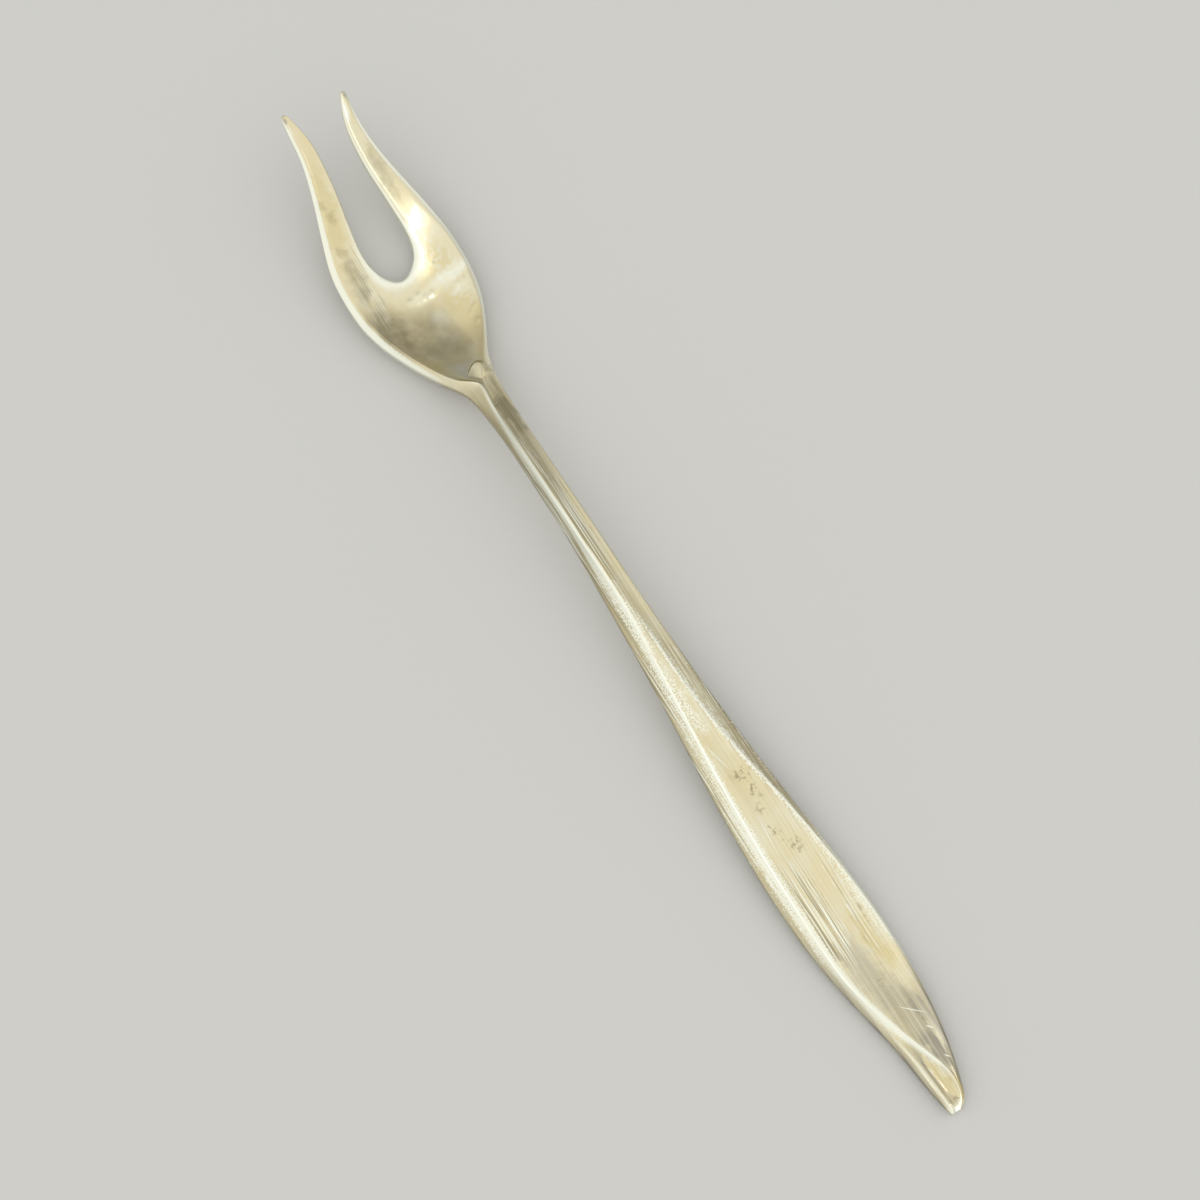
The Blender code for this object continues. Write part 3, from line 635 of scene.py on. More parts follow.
    def lay_heights(self):
        """Heights along the fork: the underside, and what lies above it."""
        sizes = self.sizes
        arch, tip, rim = sizes.arch_height, sizes.tip_height, sizes.rim_height
        leaf, stem, floor = sizes.leaf_thickness, sizes.stem_thickness, sizes.bowl_thickness
        self.sole = self.line(
            in_leaf=((0, sizes.end_lift), *times(arch, (0.1, 0), (0.27, 0), (0.43, 0.13), (0.71, 0.47))),
            in_stem=times(arch, (0, 0.83), (0.5, 1), (0.82, 0.96)),
            in_bowl=times(arch, (0, 0.8), (0.24, 0.46), (0.44, 0.1), (0.55, 0), (0.8, 0)),
            in_tine=times(tip, (0.1, 0.15), (0.35, 0.34), (0.6, 0.57), (0.8, 0.77), (1, 1)),
        )
        stem_top = times(stem, (0, 0.93), (0.5, 1), (0.82, 0.97))
        self.ridge = self.line(
            in_leaf=((0, sizes.end_thickness), *times(leaf, (0.06, 0.85), (0.3, 1), (0.7, 1))),
            in_stem=stem_top,
            in_bowl=((0, 0.9 * stem), *times(rim, (0.24, 0.78), (0.48, 0.94), (0.7, 1), (1, 0.86))),
            in_tine=((0.2, 0.66 * rim), *times(sizes.tip_thickness, (0.5, 1.65), (1, 1))),
        )
        self.floor = self.line(
            in_leaf=((0, sizes.end_thickness - sizes.panel_depth), (0.06, 0.85 * leaf - sizes.panel_depth),
                     (0.3, leaf - sizes.panel_depth), (0.7, leaf - 0.5 * sizes.panel_depth)),
            in_stem=stem_top,
            in_bowl=((0, 0.88 * stem), *times(floor, (0.14, 1.63), (0.24, 1.48), (0.35, 1.28), (0.5, 1.08),
                                              (0.65, 1), (1, 1))),
            in_tine=times(sizes.tip_thickness, (0.5, 1.2), (1, 0.85)),
        )

    def lay_falls(self):
        """How far the top falls from the ridges to the edges, and the height of the wall there."""
        sizes = self.sizes
        in_stem = ((0.3, sizes.stem_fall),)
        in_tine = times(sizes.tip_fall, (0.5, 1.3), (1, 1))
        self.left_fall = self.line(
            in_leaf=times(sizes.leaf_fall, (0, 0.5), (0.1, 0.7), (0.3, 0.9), (0.8, 1)),
            in_stem=in_stem,
            in_bowl=((0, 0.9 * sizes.stem_fall), *times(sizes.bowl_fall, (0.3, 1.15), (0.8, 1))),
            in_tine=in_tine,
        )
        self.right_fall = self.line(
            in_leaf=(*times(sizes.lip_fall, (0, 1), (0.35, 1)),
                     *times(sizes.leaf_fall, (0.6, 0.7), (0.85, 1))),
            in_stem=in_stem,
            in_bowl=((0, 0.85 * sizes.stem_fall), *times(sizes.bowl_fall, (0.3, 0.9), (0.8, 0.7))),
            in_tine=in_tine,
        )
        self.wall = self.line(in_leaf=times(sizes.edge_wall, (0, 0.8), (0.2, 1)),
                              in_bowl=times(sizes.edge_wall, (0.5, 0.9)), in_tine=((1, sizes.tip_wall),))

    def lay_wear(self):
        """How bright each column is rubbed and painted with highlights, and how much dark film it keeps."""
        self.rubbed, self.filmed = (
            {column: self.line(**lengths) for column, lengths in wear.items()} for wear in (RUBBED_AND_HIGHLIT, FILMED))

    def rows(self):
        """Stations of the cage's rows, as (left, right) pairs that differ only on the tines."""
        both = [self.leaf((k / LEAF_ROWS) ** END_CROWDING) for k in range(LEAF_ROWS)]
        both += [self.stem(k / STEM_ROWS) for k in range(STEM_ROWS)]
        both += [self.bowl(part) for part in BOWL_PARTS]
        pairs = [(station, station) for station in both]
        shoulder = self.bowl(1) + self.sizes.slot_shoulder
        tips = (self.left_tine(1), self.right_tine(1))
        for k in range(TINE_ROWS + 1):
            part = 1 - (1 - k / TINE_ROWS) ** TIP_CROWDING
            pairs.append(tuple(between(shoulder, tip, part) for tip in tips))
        return pairs

    def across(self, left_station, right_station, on_tines):
        """Sideways places of the twelve columns in one row."""
        left, right = smooth(self.left_edge, left_station), smooth(self.right_edge, right_station)
        if on_tines:
            left_inner = smooth(self.left_slot_side, left_station)
            right_inner = smooth(self.right_slot_side, right_station)
            left_ridge = between(left, left_inner, smooth(self.left_tine_bevel, left_station))
            right_ridge = between(right, right_inner, smooth(self.right_tine_bevel, right_station))
            left_panel = between(left_ridge, left_inner, 0.5)
            right_panel = between(right_inner, right_ridge, smooth(self.right_tine_crest, right_station))
            middle = (left_inner + right_inner) / 2
        else:
            left_ridge = between(left, right, smooth(self.left_facet, left_station))
            right_ridge = between(right, left, smooth(self.right_facet, right_station))
            swing = smooth(self.slot_swing, left_station)
            middle = between((left_ridge + right_ridge) / 2, self.sizes.slot_middle, swing)
            left_inner, left_panel = (between(middle, left_ridge, part) for part in LEFT_SPREAD)
            right_inner, right_panel = (between(middle, right_ridge, part) for part in RIGHT_SPREAD)
        bead = between(left, left_ridge, smooth(self.bead, left_station))
        petal = between(left, left_ridge, smooth(self.petal, left_station))
        facet = (right_ridge + right) / 2
        return (left, bead, petal, left_ridge, left_panel, left_inner, middle,
                right_inner, right_panel, right_ridge, facet, right)

    def top_height(self, name, place, station, sideways):
        """Height of the top at one column, from its place across the row."""
        ridge = smooth(self.ridge, station)
        left, left_ridge = sideways[0], sideways[COLUMNS.index("left_ridge")]
        right, right_ridge = sideways[-1], sideways[COLUMNS.index("right_ridge")]
        middle = sideways[MIDDLE]
        if place <= left_ridge:
            fall = smooth(self.left_fall, station) * (left_ridge - place) / (left_ridge - left)
        elif place >= right_ridge:
            fall = smooth(self.right_fall, station) * (place - right_ridge) / (right - right_ridge)
        else:
            reach = left_ridge - middle if place < middle else right_ridge - middle
            fall = (ridge - smooth(self.floor, station)) * (1 - ((place - middle) / reach) ** 2)
        sizes = self.sizes
        relief = {"bead": sizes.bead_height * smooth(self.petal_relief, station),
                  "petal": -sizes.petal_depth * smooth(self.petal_relief, station),
                  "right_panel": sizes.tine_ridge * smooth(self.ridge_rise, station),
                  "right_facet": -sizes.flute_depth * smooth(self.flute_relief, station)}
        return smooth(self.sole, station) + ridge - fall + relief.get(name, 0)

    def bottom_height(self, place, station, sideways):
        """Height of the underside: flat along the middle, and curved up to the edges."""
        left, right = sideways[0], sideways[-1]
        half = (right - left) / 2
        from_middle = (place - (left + right) / 2) / half
        fall = smooth(self.left_fall if from_middle < 0 else self.right_fall, station)
        lift = smooth(self.ridge, station) - fall - smooth(self.wall, station)
        rounding = max(0, abs(from_middle) - SOLE_FLAT) / (1 - SOLE_FLAT)
        return smooth(self.sole, station) + lift * rounding ** 2

    def cage_points(self):
        """Top and bottom points of the cage by (row, column), with the middle of the fork at the origin."""
        aside = (self.sizes.bowl_left - self.sizes.bowl_right) / 2
        back = -self.left_tine(1) / 2
        top, bottom = {}, {}
        for row, (left_station, right_station) in enumerate(self.rows()):
            sideways = self.across(left_station, right_station, row > SLOT_ROW)
            for column, name in enumerate(COLUMNS):
                station = left_station if column < MIDDLE else right_station
                if row == SLOT_ROW and column == MIDDLE:
                    station -= self.sizes.slot_point
                place = sideways[column]
                here = (place + aside, station + back)
                top[row, column] = (*here, self.top_height(name, place, station, sideways))
                bottom[row, column] = (*here, self.bottom_height(place, station, sideways))
        return top, bottom


def in_edit_mode(operator, **options):
    """Runs one mesh operator in edit mode on what is selected."""
    bpy.ops.object.mode_set(mode="EDIT")
    operator(**options)
    bpy.ops.object.mode_set(mode="OBJECT")


def select_only(mesh, faces=(), edges=()):
    """Selects the faces or the edges with these numbers, and nothing else."""
    for kind in (mesh.vertices, mesh.edges, mesh.polygons):
        kind.foreach_set("select", [False] * len(kind))
    bpy.context.tool_settings.mesh_select_mode = (False, bool(edges), not edges)
    for k in faces:
        mesh.polygons[k].select = True
    for k in edges:
        mesh.edges[k].select = True


def corners_of(mesh):
    """Where each vertex of the cage belongs."""
    values = ([item.value for item in mesh.attributes[name].data] for name in Corner._fields)
    return [Corner(*numbers) for numbers in zip(*values)]


def lay_cage(lines):
    """The fork's cage: a grid laid along the form lines, with the slot cut out and a thickness."""
    top, bottom = lines.cage_points()
    bpy.ops.object.select_all(action="DESELECT")
    bpy.ops.mesh.primitive_grid_add(x_subdivisions=len(COLUMNS) - 1, y_subdivisions=LAST_ROW, size=1)
    fork = bpy.context.object
    fork.name = fork.data.name = "silver_fork"
    mesh = fork.data
    for name in Corner._fields:
        mesh.attributes.new(name, "INT", "POINT")
    for vertex in mesh.vertices:
        column = round((vertex.co.x + 0.5) * (len(COLUMNS) - 1))
        row = round((vertex.co.y + 0.5) * LAST_ROW)
        mesh.attributes["row"].data[vertex.index].value = row
        mesh.attributes["column"].data[vertex.index].value = column
        vertex.co = top[row, column]
    corners = corners_of(mesh)
    slot = []
    for face in mesh.polygons:
        first_row = min(corners[k].row for k in face.vertices)
        first_column = min(corners[k].column for k in face.vertices)
        if first_row >= SLOT_ROW and SLOT_SIDES[0] <= first_column < SLOT_SIDES[1]:
            slot.append(face.index)
    select_only(mesh, faces=slot)
    in_edit_mode(bpy.ops.mesh.delete, type="FACE")
    select_only(mesh, faces=range(len(mesh.polygons)))
    in_edit_mode(bpy.ops.mesh.extrude_region)
    below = mesh.attributes["below"]
    for vertex, corner in zip(mesh.vertices, corners_of(mesh)):
        if vertex.select:
            below.data[vertex.index].value = 1
            vertex.co = bottom[corner.row, corner.column]
    select_only(mesh, faces=range(len(mesh.polygons)))
    in_edit_mode(bpy.ops.mesh.normals_make_consistent, inside=False)
    return fork


def sharpen(fork, lines):
    """Creases the rims, the two ridges, the petal and the right tine's crest."""
    mesh = fork.data
    corners = corners_of(mesh)
    walls = set()
    for face in mesh.polygons:
        if len({corners[k].below for k in face.vertices}) == 2:
            walls.update(face.edge_keys)
    petal_end = lines.leaf(PETAL_END) - lines.left_tine(1) / 2
    rims, ridges = [], []
    for edge in mesh.edges:
        first, second = (corners[k] for k in edge.vertices)
        if edge.key in walls:
            if first.below == second.below:
                rims.append(edge.index)
            continue
        if first.below or first.column != second.column:
            continue
        at_petal = max(mesh.vertices[k].co.y for k in edge.vertices) < petal_end
        on_tine = min(first.row, second.row) > SLOT_ROW
        sharp = {"left_ridge": True, "right_ridge": True, "petal": at_petal, "right_panel": on_tine}
        if sharp.get(COLUMNS[first.column]):
            ridges.append(edge.index)
    for edges, crease in ((rims, RIM_CREASE), (ridges, RIDGE_CREASE)):
        select_only(mesh, edges=edges)
        in_edit_mode(bpy.ops.transform.edge_crease, value=crease)


def mark_wear(fork, lines):
    """Writes how bright each point of the cage is rubbed and painted with highlights, how much film it
    keeps, and its side.
    """
    mesh = fork.data
    corners = corners_of(mesh)
    for name in ("rubbed", "filmed", "underside"):
        mesh.attributes.new(name, "FLOAT", "POINT")
    to_station = lines.left_tine(1) / 2
    for k, corner in enumerate(corners):
        station = mesh.vertices[k].co.y + to_station
        for name, curves in (("rubbed", lines.rubbed), ("filmed", lines.filmed)):
            curve = curves.get(COLUMNS[corner.column])
            mesh.attributes[name].data[k].value = smooth(curve, station) if curve else 0
        mesh.attributes["underside"].data[k].value = float(corner.below)
    for name in Corner._fields:
        mesh.attributes.remove(mesh.attributes[name])


def round_off(fork):
    """Smooths the cage into its finished surface."""
    bpy.ops.object.modifier_add(type="SUBSURF")
    smoothing = fork.modifiers[-1]
    smoothing.levels = smoothing.render_levels = SMOOTH_LEVELS
    bpy.ops.object.modifier_apply(modifier=smoothing.name)
    bpy.ops.object.shade_smooth()


def oval_distance(mark, x, y):
    """Distance of points from the middle of a mark, where 1 is its border."""
    angle = math.radians(mark.turn)
    right, ahead = x - mark.x, y - mark.y
    across = (right * math.cos(angle) + ahead * math.sin(angle)) / mark.half_width
    along = (ahead * math.cos(angle) - right * math.sin(angle)) / mark.half_length
    return np.hypot(across, along)


def soft_noise(x, y, span):
    """A soft noise of this span at some points, from -1 to 1."""
    return np.array([noise.noise((u / span, v / span, 0)) for u, v in zip(x, y)])


def press_relief(fork):
    """Presses small forms into the top: an unevenness, lumps and pebbles, the half-moon and the petal."""
    mesh = fork.data
    count = len(mesh.vertices)
    points = np.zeros(3 * count)
    underside = np.zeros(count)
    mesh.vertices.foreach_get("co", points)
    mesh.attributes["underside"].data.foreach_get("value", underside)
    points = points.reshape(-1, 3)
    x, y = MM * points[:, 0], MM * points[:, 1]
    lift = UNEVENNESS * soft_noise(x, y, UNEVEN_SPAN)
    pebbles = PEBBLE_HEIGHT * soft_noise(x, y, PEBBLE_SPAN)
    for marks, fade, pattern in (
            (LUMPS, LUMPS.fade, 1), (STEPS, STEPS.fade, 1), (PEBBLED, LUMPS.fade, pebbles)):
        for mark in marks.ovals:
            out = np.clip((oval_distance(mark, x, y) - fade) / (1 - fade), 0, 1)
            height = mark.strength + mark.tilt * (y - mark.y) + mark.lean * (x - mark.x)
            # A raised form is never sunk at its low end
            height = np.maximum(height, min(mark.strength, 0))
            lift += pattern * height * (1 - out * out * (3 - 2 * out))
    points[:, 2] += lift * np.clip(1 - 2 * underside, 0, 1) / MM
    mesh.vertices.foreach_set("co", points.ravel())
    mesh.update()


def add_node(tree, kind, inputs=(), out=0, **settings):
    """Adds a shader node with its settings, links or sets its inputs, and gives one of its outputs."""
    node = tree.nodes.new("ShaderNode" + kind)
    for name, value in settings.items():
        setattr(node, name, value)
    # An input is given by its name, or by its number where a node has several of one name
    for key, value in dict(inputs).items():
        if isinstance(value, NodeSocket):
            tree.links.new(value, node.inputs[key])
        else:
            node.inputs[key].default_value = value
    return node.outputs[out]


class SilverLayers:
    """Patterns of the silver and the layers that they make, each a cover from 0 to 1."""

    def __init__(self, tree, finish):
        self.add = partial(add_node, tree)
        self.find_places()
        self.lay_patterns(finish)
        self.lay_film(finish)
        self.lay_rubbing()
        self.lay_lines()
        self.lay_spots()

    def find_places(self):
        """Places on the fork in millimetres, its top, its bowl, and the wear and painted highlights of its
        cage.
        """
        add = self.add
        place = add("TexCoord", out="Object")
        self.mm = add("VectorMath", {0: place, "Scale": MM}, operation="SCALE")
        self.along = add("SeparateXYZ", {"Vector": self.mm}, "Y")
        self.in_bowl = add("MapRange", {"Value": self.along, **BOWL_START})
        self.rubbed, self.filmed, self.underside = (
            add("Attribute", out="Fac", attribute_name=name) for name in ("rubbed", "filmed", "underside"))
        self.top = add("MapRange", {"Value": self.underside, "From Min": 0.25, "From Max": 0.6,
                                    "To Min": 1, "To Max": 0})

    def brush_lines(self, width, length, aside):
        """Lines that rubbing left along the fork: a noise drawn out along its length."""
        drawn_out = self.add("Mapping", {"Vector": self.mm, "Location": (aside, 0, 0),
                                         "Scale": (1 / width, 1 / length, 0)})
        return self.add("TexNoise", {"Vector": drawn_out, "Scale": 1, "Detail": 2})

    def cover(self, place, marks):
        """Cover of some marks on the top: each an oval in its place, with a soft border."""
        add = self.add
        cover = 0
        for mark in marks.ovals:
            local = add("Mapping", {"Vector": place, "Location": (mark.x, mark.y, 0),
                                    "Rotation": (0, 0, math.radians(mark.turn)),
                                    "Scale": (mark.half_width, mark.half_length, MARK_HALF_HEIGHT)},
                        vector_type="TEXTURE")
            distance = add("VectorMath", {0: local}, "Value", operation="LENGTH")
            here = add("MapRange", {"Value": distance, "From Min": marks.fade, "From Max": 1,
                                    "To Min": mark.strength, "To Max": 0}, interpolation_type="SMOOTHSTEP")
            cover = add("Math", {0: cover, 1: here}, operation="MAXIMUM")
        return add("Math", {0: cover, 1: self.top}, operation="MULTIPLY")

    def lay_patterns(self, finish):
        """Lines along the fork, grain, blotches and pits, and wobbled places that make marks ragged."""
        add = self.add
        # The real lines are finer than a pixel, so they are drawn as coarse as they need to show
        self.fine, self.other, self.coarse = (
            self.brush_lines(wide * MM * finish.line_width, long * MM * finish.line_length, aside)
            for wide, long, aside in LINE_KINDS)
        self.grain, self.mottle, self.blotch, self.pitted = (
            add("TexNoise", {"Vector": self.mm, "Scale": 1 / (MM * width), "Detail": 3})
            for width in (finish.grain_size, finish.mottle_size, finish.blotch_size, finish.pit_size))
        wobble = add("TexNoise", {"Vector": self.mm, "Scale": 1 / WOBBLE_SPAN, "Detail": 3}, "Color")
        centred = add("VectorMath", {0: wobble, 1: (0.5, 0.5, 0.5)}, operation="SUBTRACT")
        self.ragged = add("VectorMath", {0: centred, 1: (WOBBLE_REACH, WOBBLE_REACH, 0), 2: self.mm},
                          operation="MULTIPLY_ADD")

    def lay_film(self, finish):
        """Film, in streaks on the stem and the handle and in patches in the bowl, painted shade on the walls
        and the underside, and tan stains.
        """
        add = self.add
        marked = self.cover(self.ragged, FILM_AND_SHADE_MARKS)
        spread = add("Math", {0: marked, 1: self.filmed}, operation="MAXIMUM")
        streaks = add("MapRange", {"Value": self.coarse, "From Min": 0.35, "From Max": 0.65,
                                   "To Min": 0.7, "To Max": 1.1})
        self.patches = add("MapRange", {"Value": self.mottle, "From Min": 0.35, "From Max": 0.65,
                                        "To Min": 0.6, "To Max": 1.1})
        uneven = add("Mix", {0: self.in_bowl, 2: streaks, 3: self.patches})
        broken = add("Math", {0: spread, 1: uneven}, operation="MULTIPLY", use_clamp=True)
        cleaned = self.cover(self.mm, CLEANED)
        kept = add("Math", {0: 1, 1: cleaned}, operation="SUBTRACT")
        on_top = add("Math", {0: broken, 1: kept}, operation="MULTIPLY")
        # Painted shade: the walls and the underside take up to 0.6 of the film, which outlines the edges
        # against the floor
        walls = add("MapRange", {"Value": self.underside, "From Min": 0.08, "From Max": 0.4, "To Max": 0.6})
        self.film_and_shade = add("Math", {0: on_top, 1: walls}, operation="MAXIMUM")
        at_end = add("MapRange", {"Value": self.along, **GREY_END})
        self.film_tint = add("Mix", {0: at_end, 6: (*finish.film_and_shade, 1), 7: (*finish.grey, 1)}, 2,
                             data_type="RGBA")
        self.tan = self.cover(self.ragged, TAN_STAINS)

    def lay_rubbing(self):
        """Bright ridges, rubbed metal with painted highlights, whose border is granular along the leaf;
        painted highlight spots; and bright granules, which are painted glints.
        """
        add = self.add
        from_end = add("MapRange", {"Value": self.along, **GRAIN_START,
                                    "To Min": SMOOTH_BORDER, "To Max": GRAINY_BORDER})
        to_head = add("MapRange", {"Value": self.along, **GRAIN_STOP,
                                   "To Min": GRAINY_BORDER, "To Max": SMOOTH_BORDER})
        grainy = add("Math", {0: from_end, 1: to_head}, operation="MINIMUM")
        lumpy = add("Math", {0: self.other, 1: LINES_IN_BORDER, 2: self.grain}, operation="MULTIPLY_ADD")
        border = add("Math", {0: lumpy, 1: (1 + LINES_IN_BORDER) / 2}, operation="SUBTRACT")
        roughened = add("Math", {0: border, 1: grainy, 2: self.rubbed}, operation="MULTIPLY_ADD")
        # Ridges, rims and bevels painted bright: partly rubbed metal, partly painted highlights
        self.ridge = add("MapRange", {"Value": roughened, "From Min": 0.35, "From Max": 0.8, "To Max": 0.9},
                         interpolation_type="SMOOTHSTEP")
        # Painted highlights: spots of rubbed metal painted bright where they catch the light
        highlight_cover = self.cover(self.mm, HIGHLIGHT_SPOTS)
        self.painted_sheen = add("Math", {0: highlight_cover, 1: self.patches}, operation="MULTIPLY", use_clamp=True)
        # Bright specks in the granular zones: painted glints of the granular metal
        speck = add("MapRange", {"Value": self.grain, "From Min": 0.45, "From Max": 0.55},
                    interpolation_type="SMOOTHSTEP")
        zone = self.cover(self.ragged, GRANULES)
        self.granule_glints = add("Math", {0: speck, 1: zone}, operation="MULTIPLY")

    def lay_lines(self):
        """Brush lines in colour: light lines paint the lit sides of the grooves and fresh metal, dark lines
        paint their shaded sides and the tarnish in them.
        """
        add = self.add
        zone = self.cover(self.ragged, LINE_ZONES)
        faint = add("MapRange", {"Value": self.in_bowl, "To Min": 0.14, "To Max": 0})
        strong = add("Math", {0: zone, 1: faint}, operation="MAXIMUM")
        light = add("MapRange", {"Value": self.fine, "From Min": 0.5, "From Max": 0.58, "To Max": 0.9},
                    interpolation_type="SMOOTHSTEP")
        dark = add("MapRange", {"Value": self.other, "From Min": 0.49, "From Max": 0.4, "To Max": 0.7},
                   interpolation_type="SMOOTHSTEP")
        self.light_lines, self.shaded_and_tarnished_lines = (
            add("Math", {0: lines, 1: strong}, operation="MULTIPLY") for lines in (light, dark))

    def lay_spots(self):
        """Pits in clusters, the pebbles' pale stipple of painted glints, single scratches, and painted dark
        reflections at the tips.
        """
        add = self.add
        hollow = add("MapRange", {"Value": self.pitted, "From Min": 0.46, "From Max": 0.62},
                     interpolation_type="SMOOTHSTEP")
        clusters = self.cover(self.ragged, PIT_CLUSTERS)
        self.pits = add("Math", {0: hollow, 1: clusters}, operation="MULTIPLY")
        # Pale stipple on the pebbled zone: painted glints on the pebbles
        stipple = add("TexNoise", {"Vector": self.mm, "Scale": 1 / STIPPLE_SPAN, "Detail": 0})
        pebble_glints = add("MapRange", {"Value": stipple, "From Min": 0.4, "From Max": 0.75, "To Max": 0.7},
                     interpolation_type="SMOOTHSTEP")
        zone = self.cover(self.mm, PEBBLED)
        self.pebbles = add("Math", {0: pebble_glints, 1: zone}, operation="MULTIPLY")
        self.scratches = self.cover(self.mm, SCRATCHES)
        # Painted dark reflections where the tips bend
        self.tips = self.cover(self.mm, TIP_DARK_REFLECTIONS)


def worn_silver(finish):
    """Struck sterling silver, polished once and worn by use: glossy and warm, with an olive-grey film where
    it is seldom touched, pale granular metal along its ridges, and fine lines along its length. Its colour
    also
    holds painted light: highlights and glints, shade on its walls and in some lines, and dark reflections at
    the tips."""
    material = bpy.data.materials.new("worn_sterling_silver")
    material.use_nodes = True
    tree = material.node_tree
    shader = tree.nodes["Principled BSDF"]
    layers = SilverLayers(tree, finish)
    add = layers.add

    # Colour: each layer lies over the ones before it; the highlight, glint, line, tip and film layers hold
    # painted light and shade
    pale = add("MapRange", {"Value": layers.blotch, "From Min": 0.4, "From Max": 0.7, "To Max": 0.6})
    colour = (*finish.warm, 1)
    for tint_above, cover in (
            (finish.pale, pale), (finish.tan, layers.tan), (finish.pale, layers.pebbles),
            (layers.film_tint, layers.film_and_shade), (finish.bright, layers.painted_sheen), (finish.film_and_shade, layers.shaded_and_tarnished_lines),
            (finish.bright, layers.ridge), (finish.bright, layers.granule_glints),
            (finish.bright, layers.light_lines), (finish.dirt, layers.pits),
            (finish.bright, layers.scratches), (finish.tip_reflection, layers.tips)):
        above = tint_above if isinstance(tint_above, NodeSocket) else (*tint_above, 1)
        colour = add("Mix", {0: cover, 6: colour, 7: above}, 2, data_type="RGBA")
    tree.links.new(colour, shader.inputs["Base Color"])

    # Roughness: film is duller than rubbed metal, and the painted highlight spots are glossier
    dulled = add("Math", {0: layers.film_and_shade, 1: finish.film_dullness, 2: finish.roughness},
                 operation="MULTIPLY_ADD")
    rough = add("Math", {0: layers.painted_sheen, 1: -finish.sheen_gloss, 2: dulled}, operation="MULTIPLY_ADD")
    tree.links.new(rough, shader.inputs["Roughness"])
    shader.inputs["Metallic"].default_value = 1.0

    # Relief of the lines, the grain and the pits, in metres
    height = 0
    for pattern, depth in ((layers.fine, finish.line_depth), (layers.coarse, 2 * finish.line_depth),
                           (layers.grain, finish.grain_depth), (layers.pits, -finish.pit_depth)):
        height = add("Math", {0: pattern, 1: depth, 2: height}, operation="MULTIPLY_ADD")
    bump = add("Bump", {"Strength": 1, "Distance": 1, "Height": height})
    tree.links.new(bump, shader.inputs["Normal"])
    return material


class OLIVEFORK_OT_model_fork(Operator):
    """Model the silver fork over its solid"""

    bl_idname = "olive_fork.model_fork"
    bl_label = "Model the fork"

    def execute(self, context):
        settings = context.scene.olive_fork
        lines = FormLines(settings.sizes)
        fork = lay_cage(lines)
        sharpen(fork, lines)
        mark_wear(fork, lines)
        round_off(fork)
        press_relief(fork)
        fork.data.materials.append(worn_silver(settings.silver))
        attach(fork, "root")
        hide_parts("fork")
        return {"FINISHED"}


def floor_paper(colour):
    """Matt pale paper: an even soft tone that keeps the fork's shadow."""
    material = bpy.data.materials.new("pale_paper")
    material.use_nodes = True
    shader = material.node_tree.nodes["Principled BSDF"]
    shader.inputs["Base Color"].default_value = (*colour, 1)
    shader.inputs["Roughness"].default_value = 0.9
    shader.inputs["Specular IOR Level"].default_value = 0.2
    return material


def light_dome(look):
    """Soft light all round, dimmer beyond the tines and near the horizon, so that the silver shows form."""
    world = bpy.data.worlds.new("soft_dome")
    bpy.context.scene.world = world
    world.use_nodes = True
    tree = world.node_tree
    add = partial(add_node, tree)
    direction = add("TexCoord", out="Generated")
    facing = add("VectorMath", {0: direction, 1: DIM_WAY.normalized()}, "Value", operation="DOT_PRODUCT")
    beyond = add("MapRange", {"Value": facing, **DIM_EDGE, "To Min": 1, "To Max": look.dim_side},
                 interpolation_type="SMOOTHSTEP")
    height = add("SeparateXYZ", {"Vector": direction}, "Z")
    low = add("MapRange", {"Value": height, "From Min": 0, "From Max": HORIZON_TOP,
                           "To Min": look.horizon, "To Max": 1})
    level = add("Math", {0: beyond, 1: low}, operation="MULTIPLY")
    background = tree.nodes["Background"]
    background.inputs["Color"].default_value = (*look.sky, 1)
    tree.links.new(level, background.inputs["Strength"])


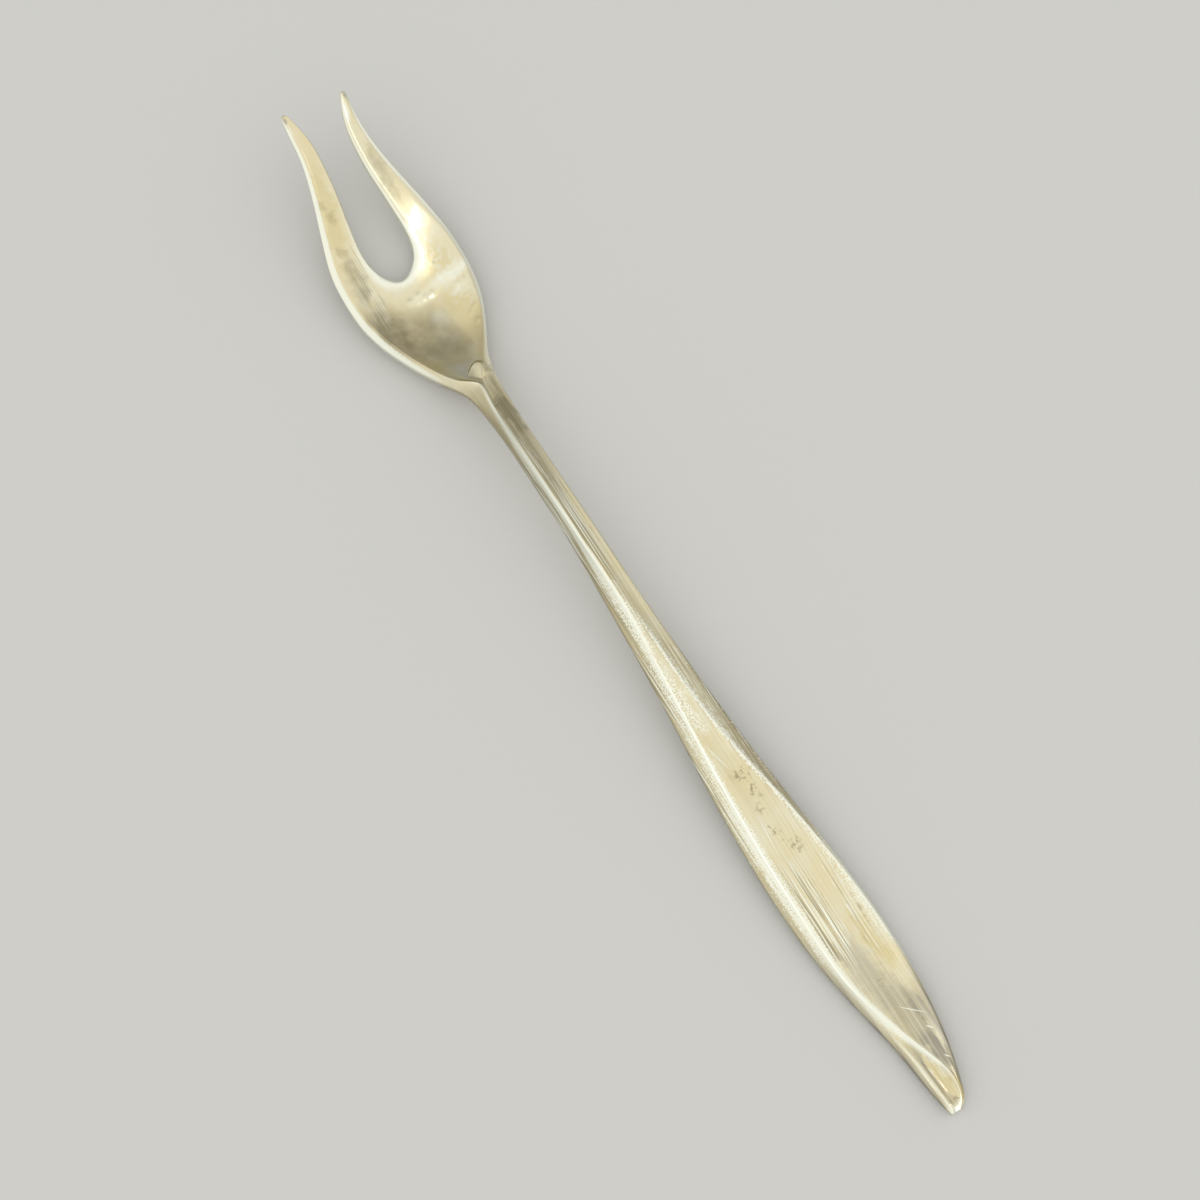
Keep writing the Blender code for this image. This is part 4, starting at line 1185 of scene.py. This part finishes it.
class OLIVEFORK_OT_set_stage(Operator):
    """Set the pale floor, the soft light and the camera"""

    bl_idname = "olive_fork.set_stage"
    bl_label = "Set the stage"

    def execute(self, context):
        look = context.scene.olive_fork.stage
        bpy.ops.object.select_all(action="DESELECT")
        bpy.ops.mesh.primitive_plane_add(size=FLOOR_WIDTH, location=(0, 0, CAD_LOW.z - FLOOR_GAP))
        floor = context.object
        floor.name = "floor"
        floor.data.materials.append(floor_paper(look.floor))
        light_dome(look)
        lamp_way = Vector((math.sin(look.lamp_tilt) * math.cos(look.lamp_turn),
                           math.sin(look.lamp_tilt) * math.sin(look.lamp_turn), math.cos(look.lamp_tilt)))
        bpy.ops.object.light_add(type="AREA", location=look.lamp_distance * lamp_way,
                                 rotation=lamp_way.to_track_quat("Z", "Y").to_euler())
        lamp = context.object
        lamp.name = "soft_box"
        lamp.data.size = look.lamp_size
        lamp.data.energy = look.lamp_power
        turned, raised = look.camera_turn, look.camera_height
        back = Vector((math.sin(turned) * math.cos(raised), -math.cos(turned) * math.cos(raised),
                       math.sin(raised)))
        aim = Vector((look.look_right, look.look_along, 0))
        bpy.ops.object.camera_add(location=aim + look.camera_distance * back,
                                  rotation=(math.pi / 2 - raised, 0, turned))
        camera = context.object
        camera.data.angle = look.camera_field
        camera.data.clip_start = CAMERA_NEAR
        context.scene.camera = camera
        context.scene.view_settings.view_transform = "Standard"
        return {"FINISHED"}


class OLIVEFORK_PT_panel(Panel):
    """Lists the fork's sizes, its finish and its stage"""

    bl_idname = "OLIVEFORK_PT_panel"
    bl_label = "Olive Fork"
    bl_space_type = "VIEW_3D"
    bl_region_type = "UI"
    bl_category = "Olive Fork"

    def draw(self, context):
        settings = context.scene.olive_fork
        for operator, group in ((OLIVEFORK_OT_model_fork, settings.sizes), (None, settings.silver),
                                (OLIVEFORK_OT_set_stage, settings.stage)):
            box = self.layout.box()
            if operator:
                box.operator(operator.bl_idname)
            for name in group.__annotations__:
                box.prop(group, name)


CLASSES = (ForkSizes, SilverFinish, StageLook, OliveFork, OLIVEFORK_OT_model_fork, OLIVEFORK_OT_set_stage,
           OLIVEFORK_PT_panel)


def register():
    for kind in CLASSES:
        bpy.utils.register_class(kind)
    bpy.types.Scene.olive_fork = PointerProperty(type=OliveFork)


def unregister():
    del bpy.types.Scene.olive_fork
    for kind in reversed(CLASSES):
        bpy.utils.unregister_class(kind)


def main():
    register()
    bpy.ops.olive_fork.model_fork()
    bpy.ops.olive_fork.set_stage()


if __name__ == "__main__":
    main()
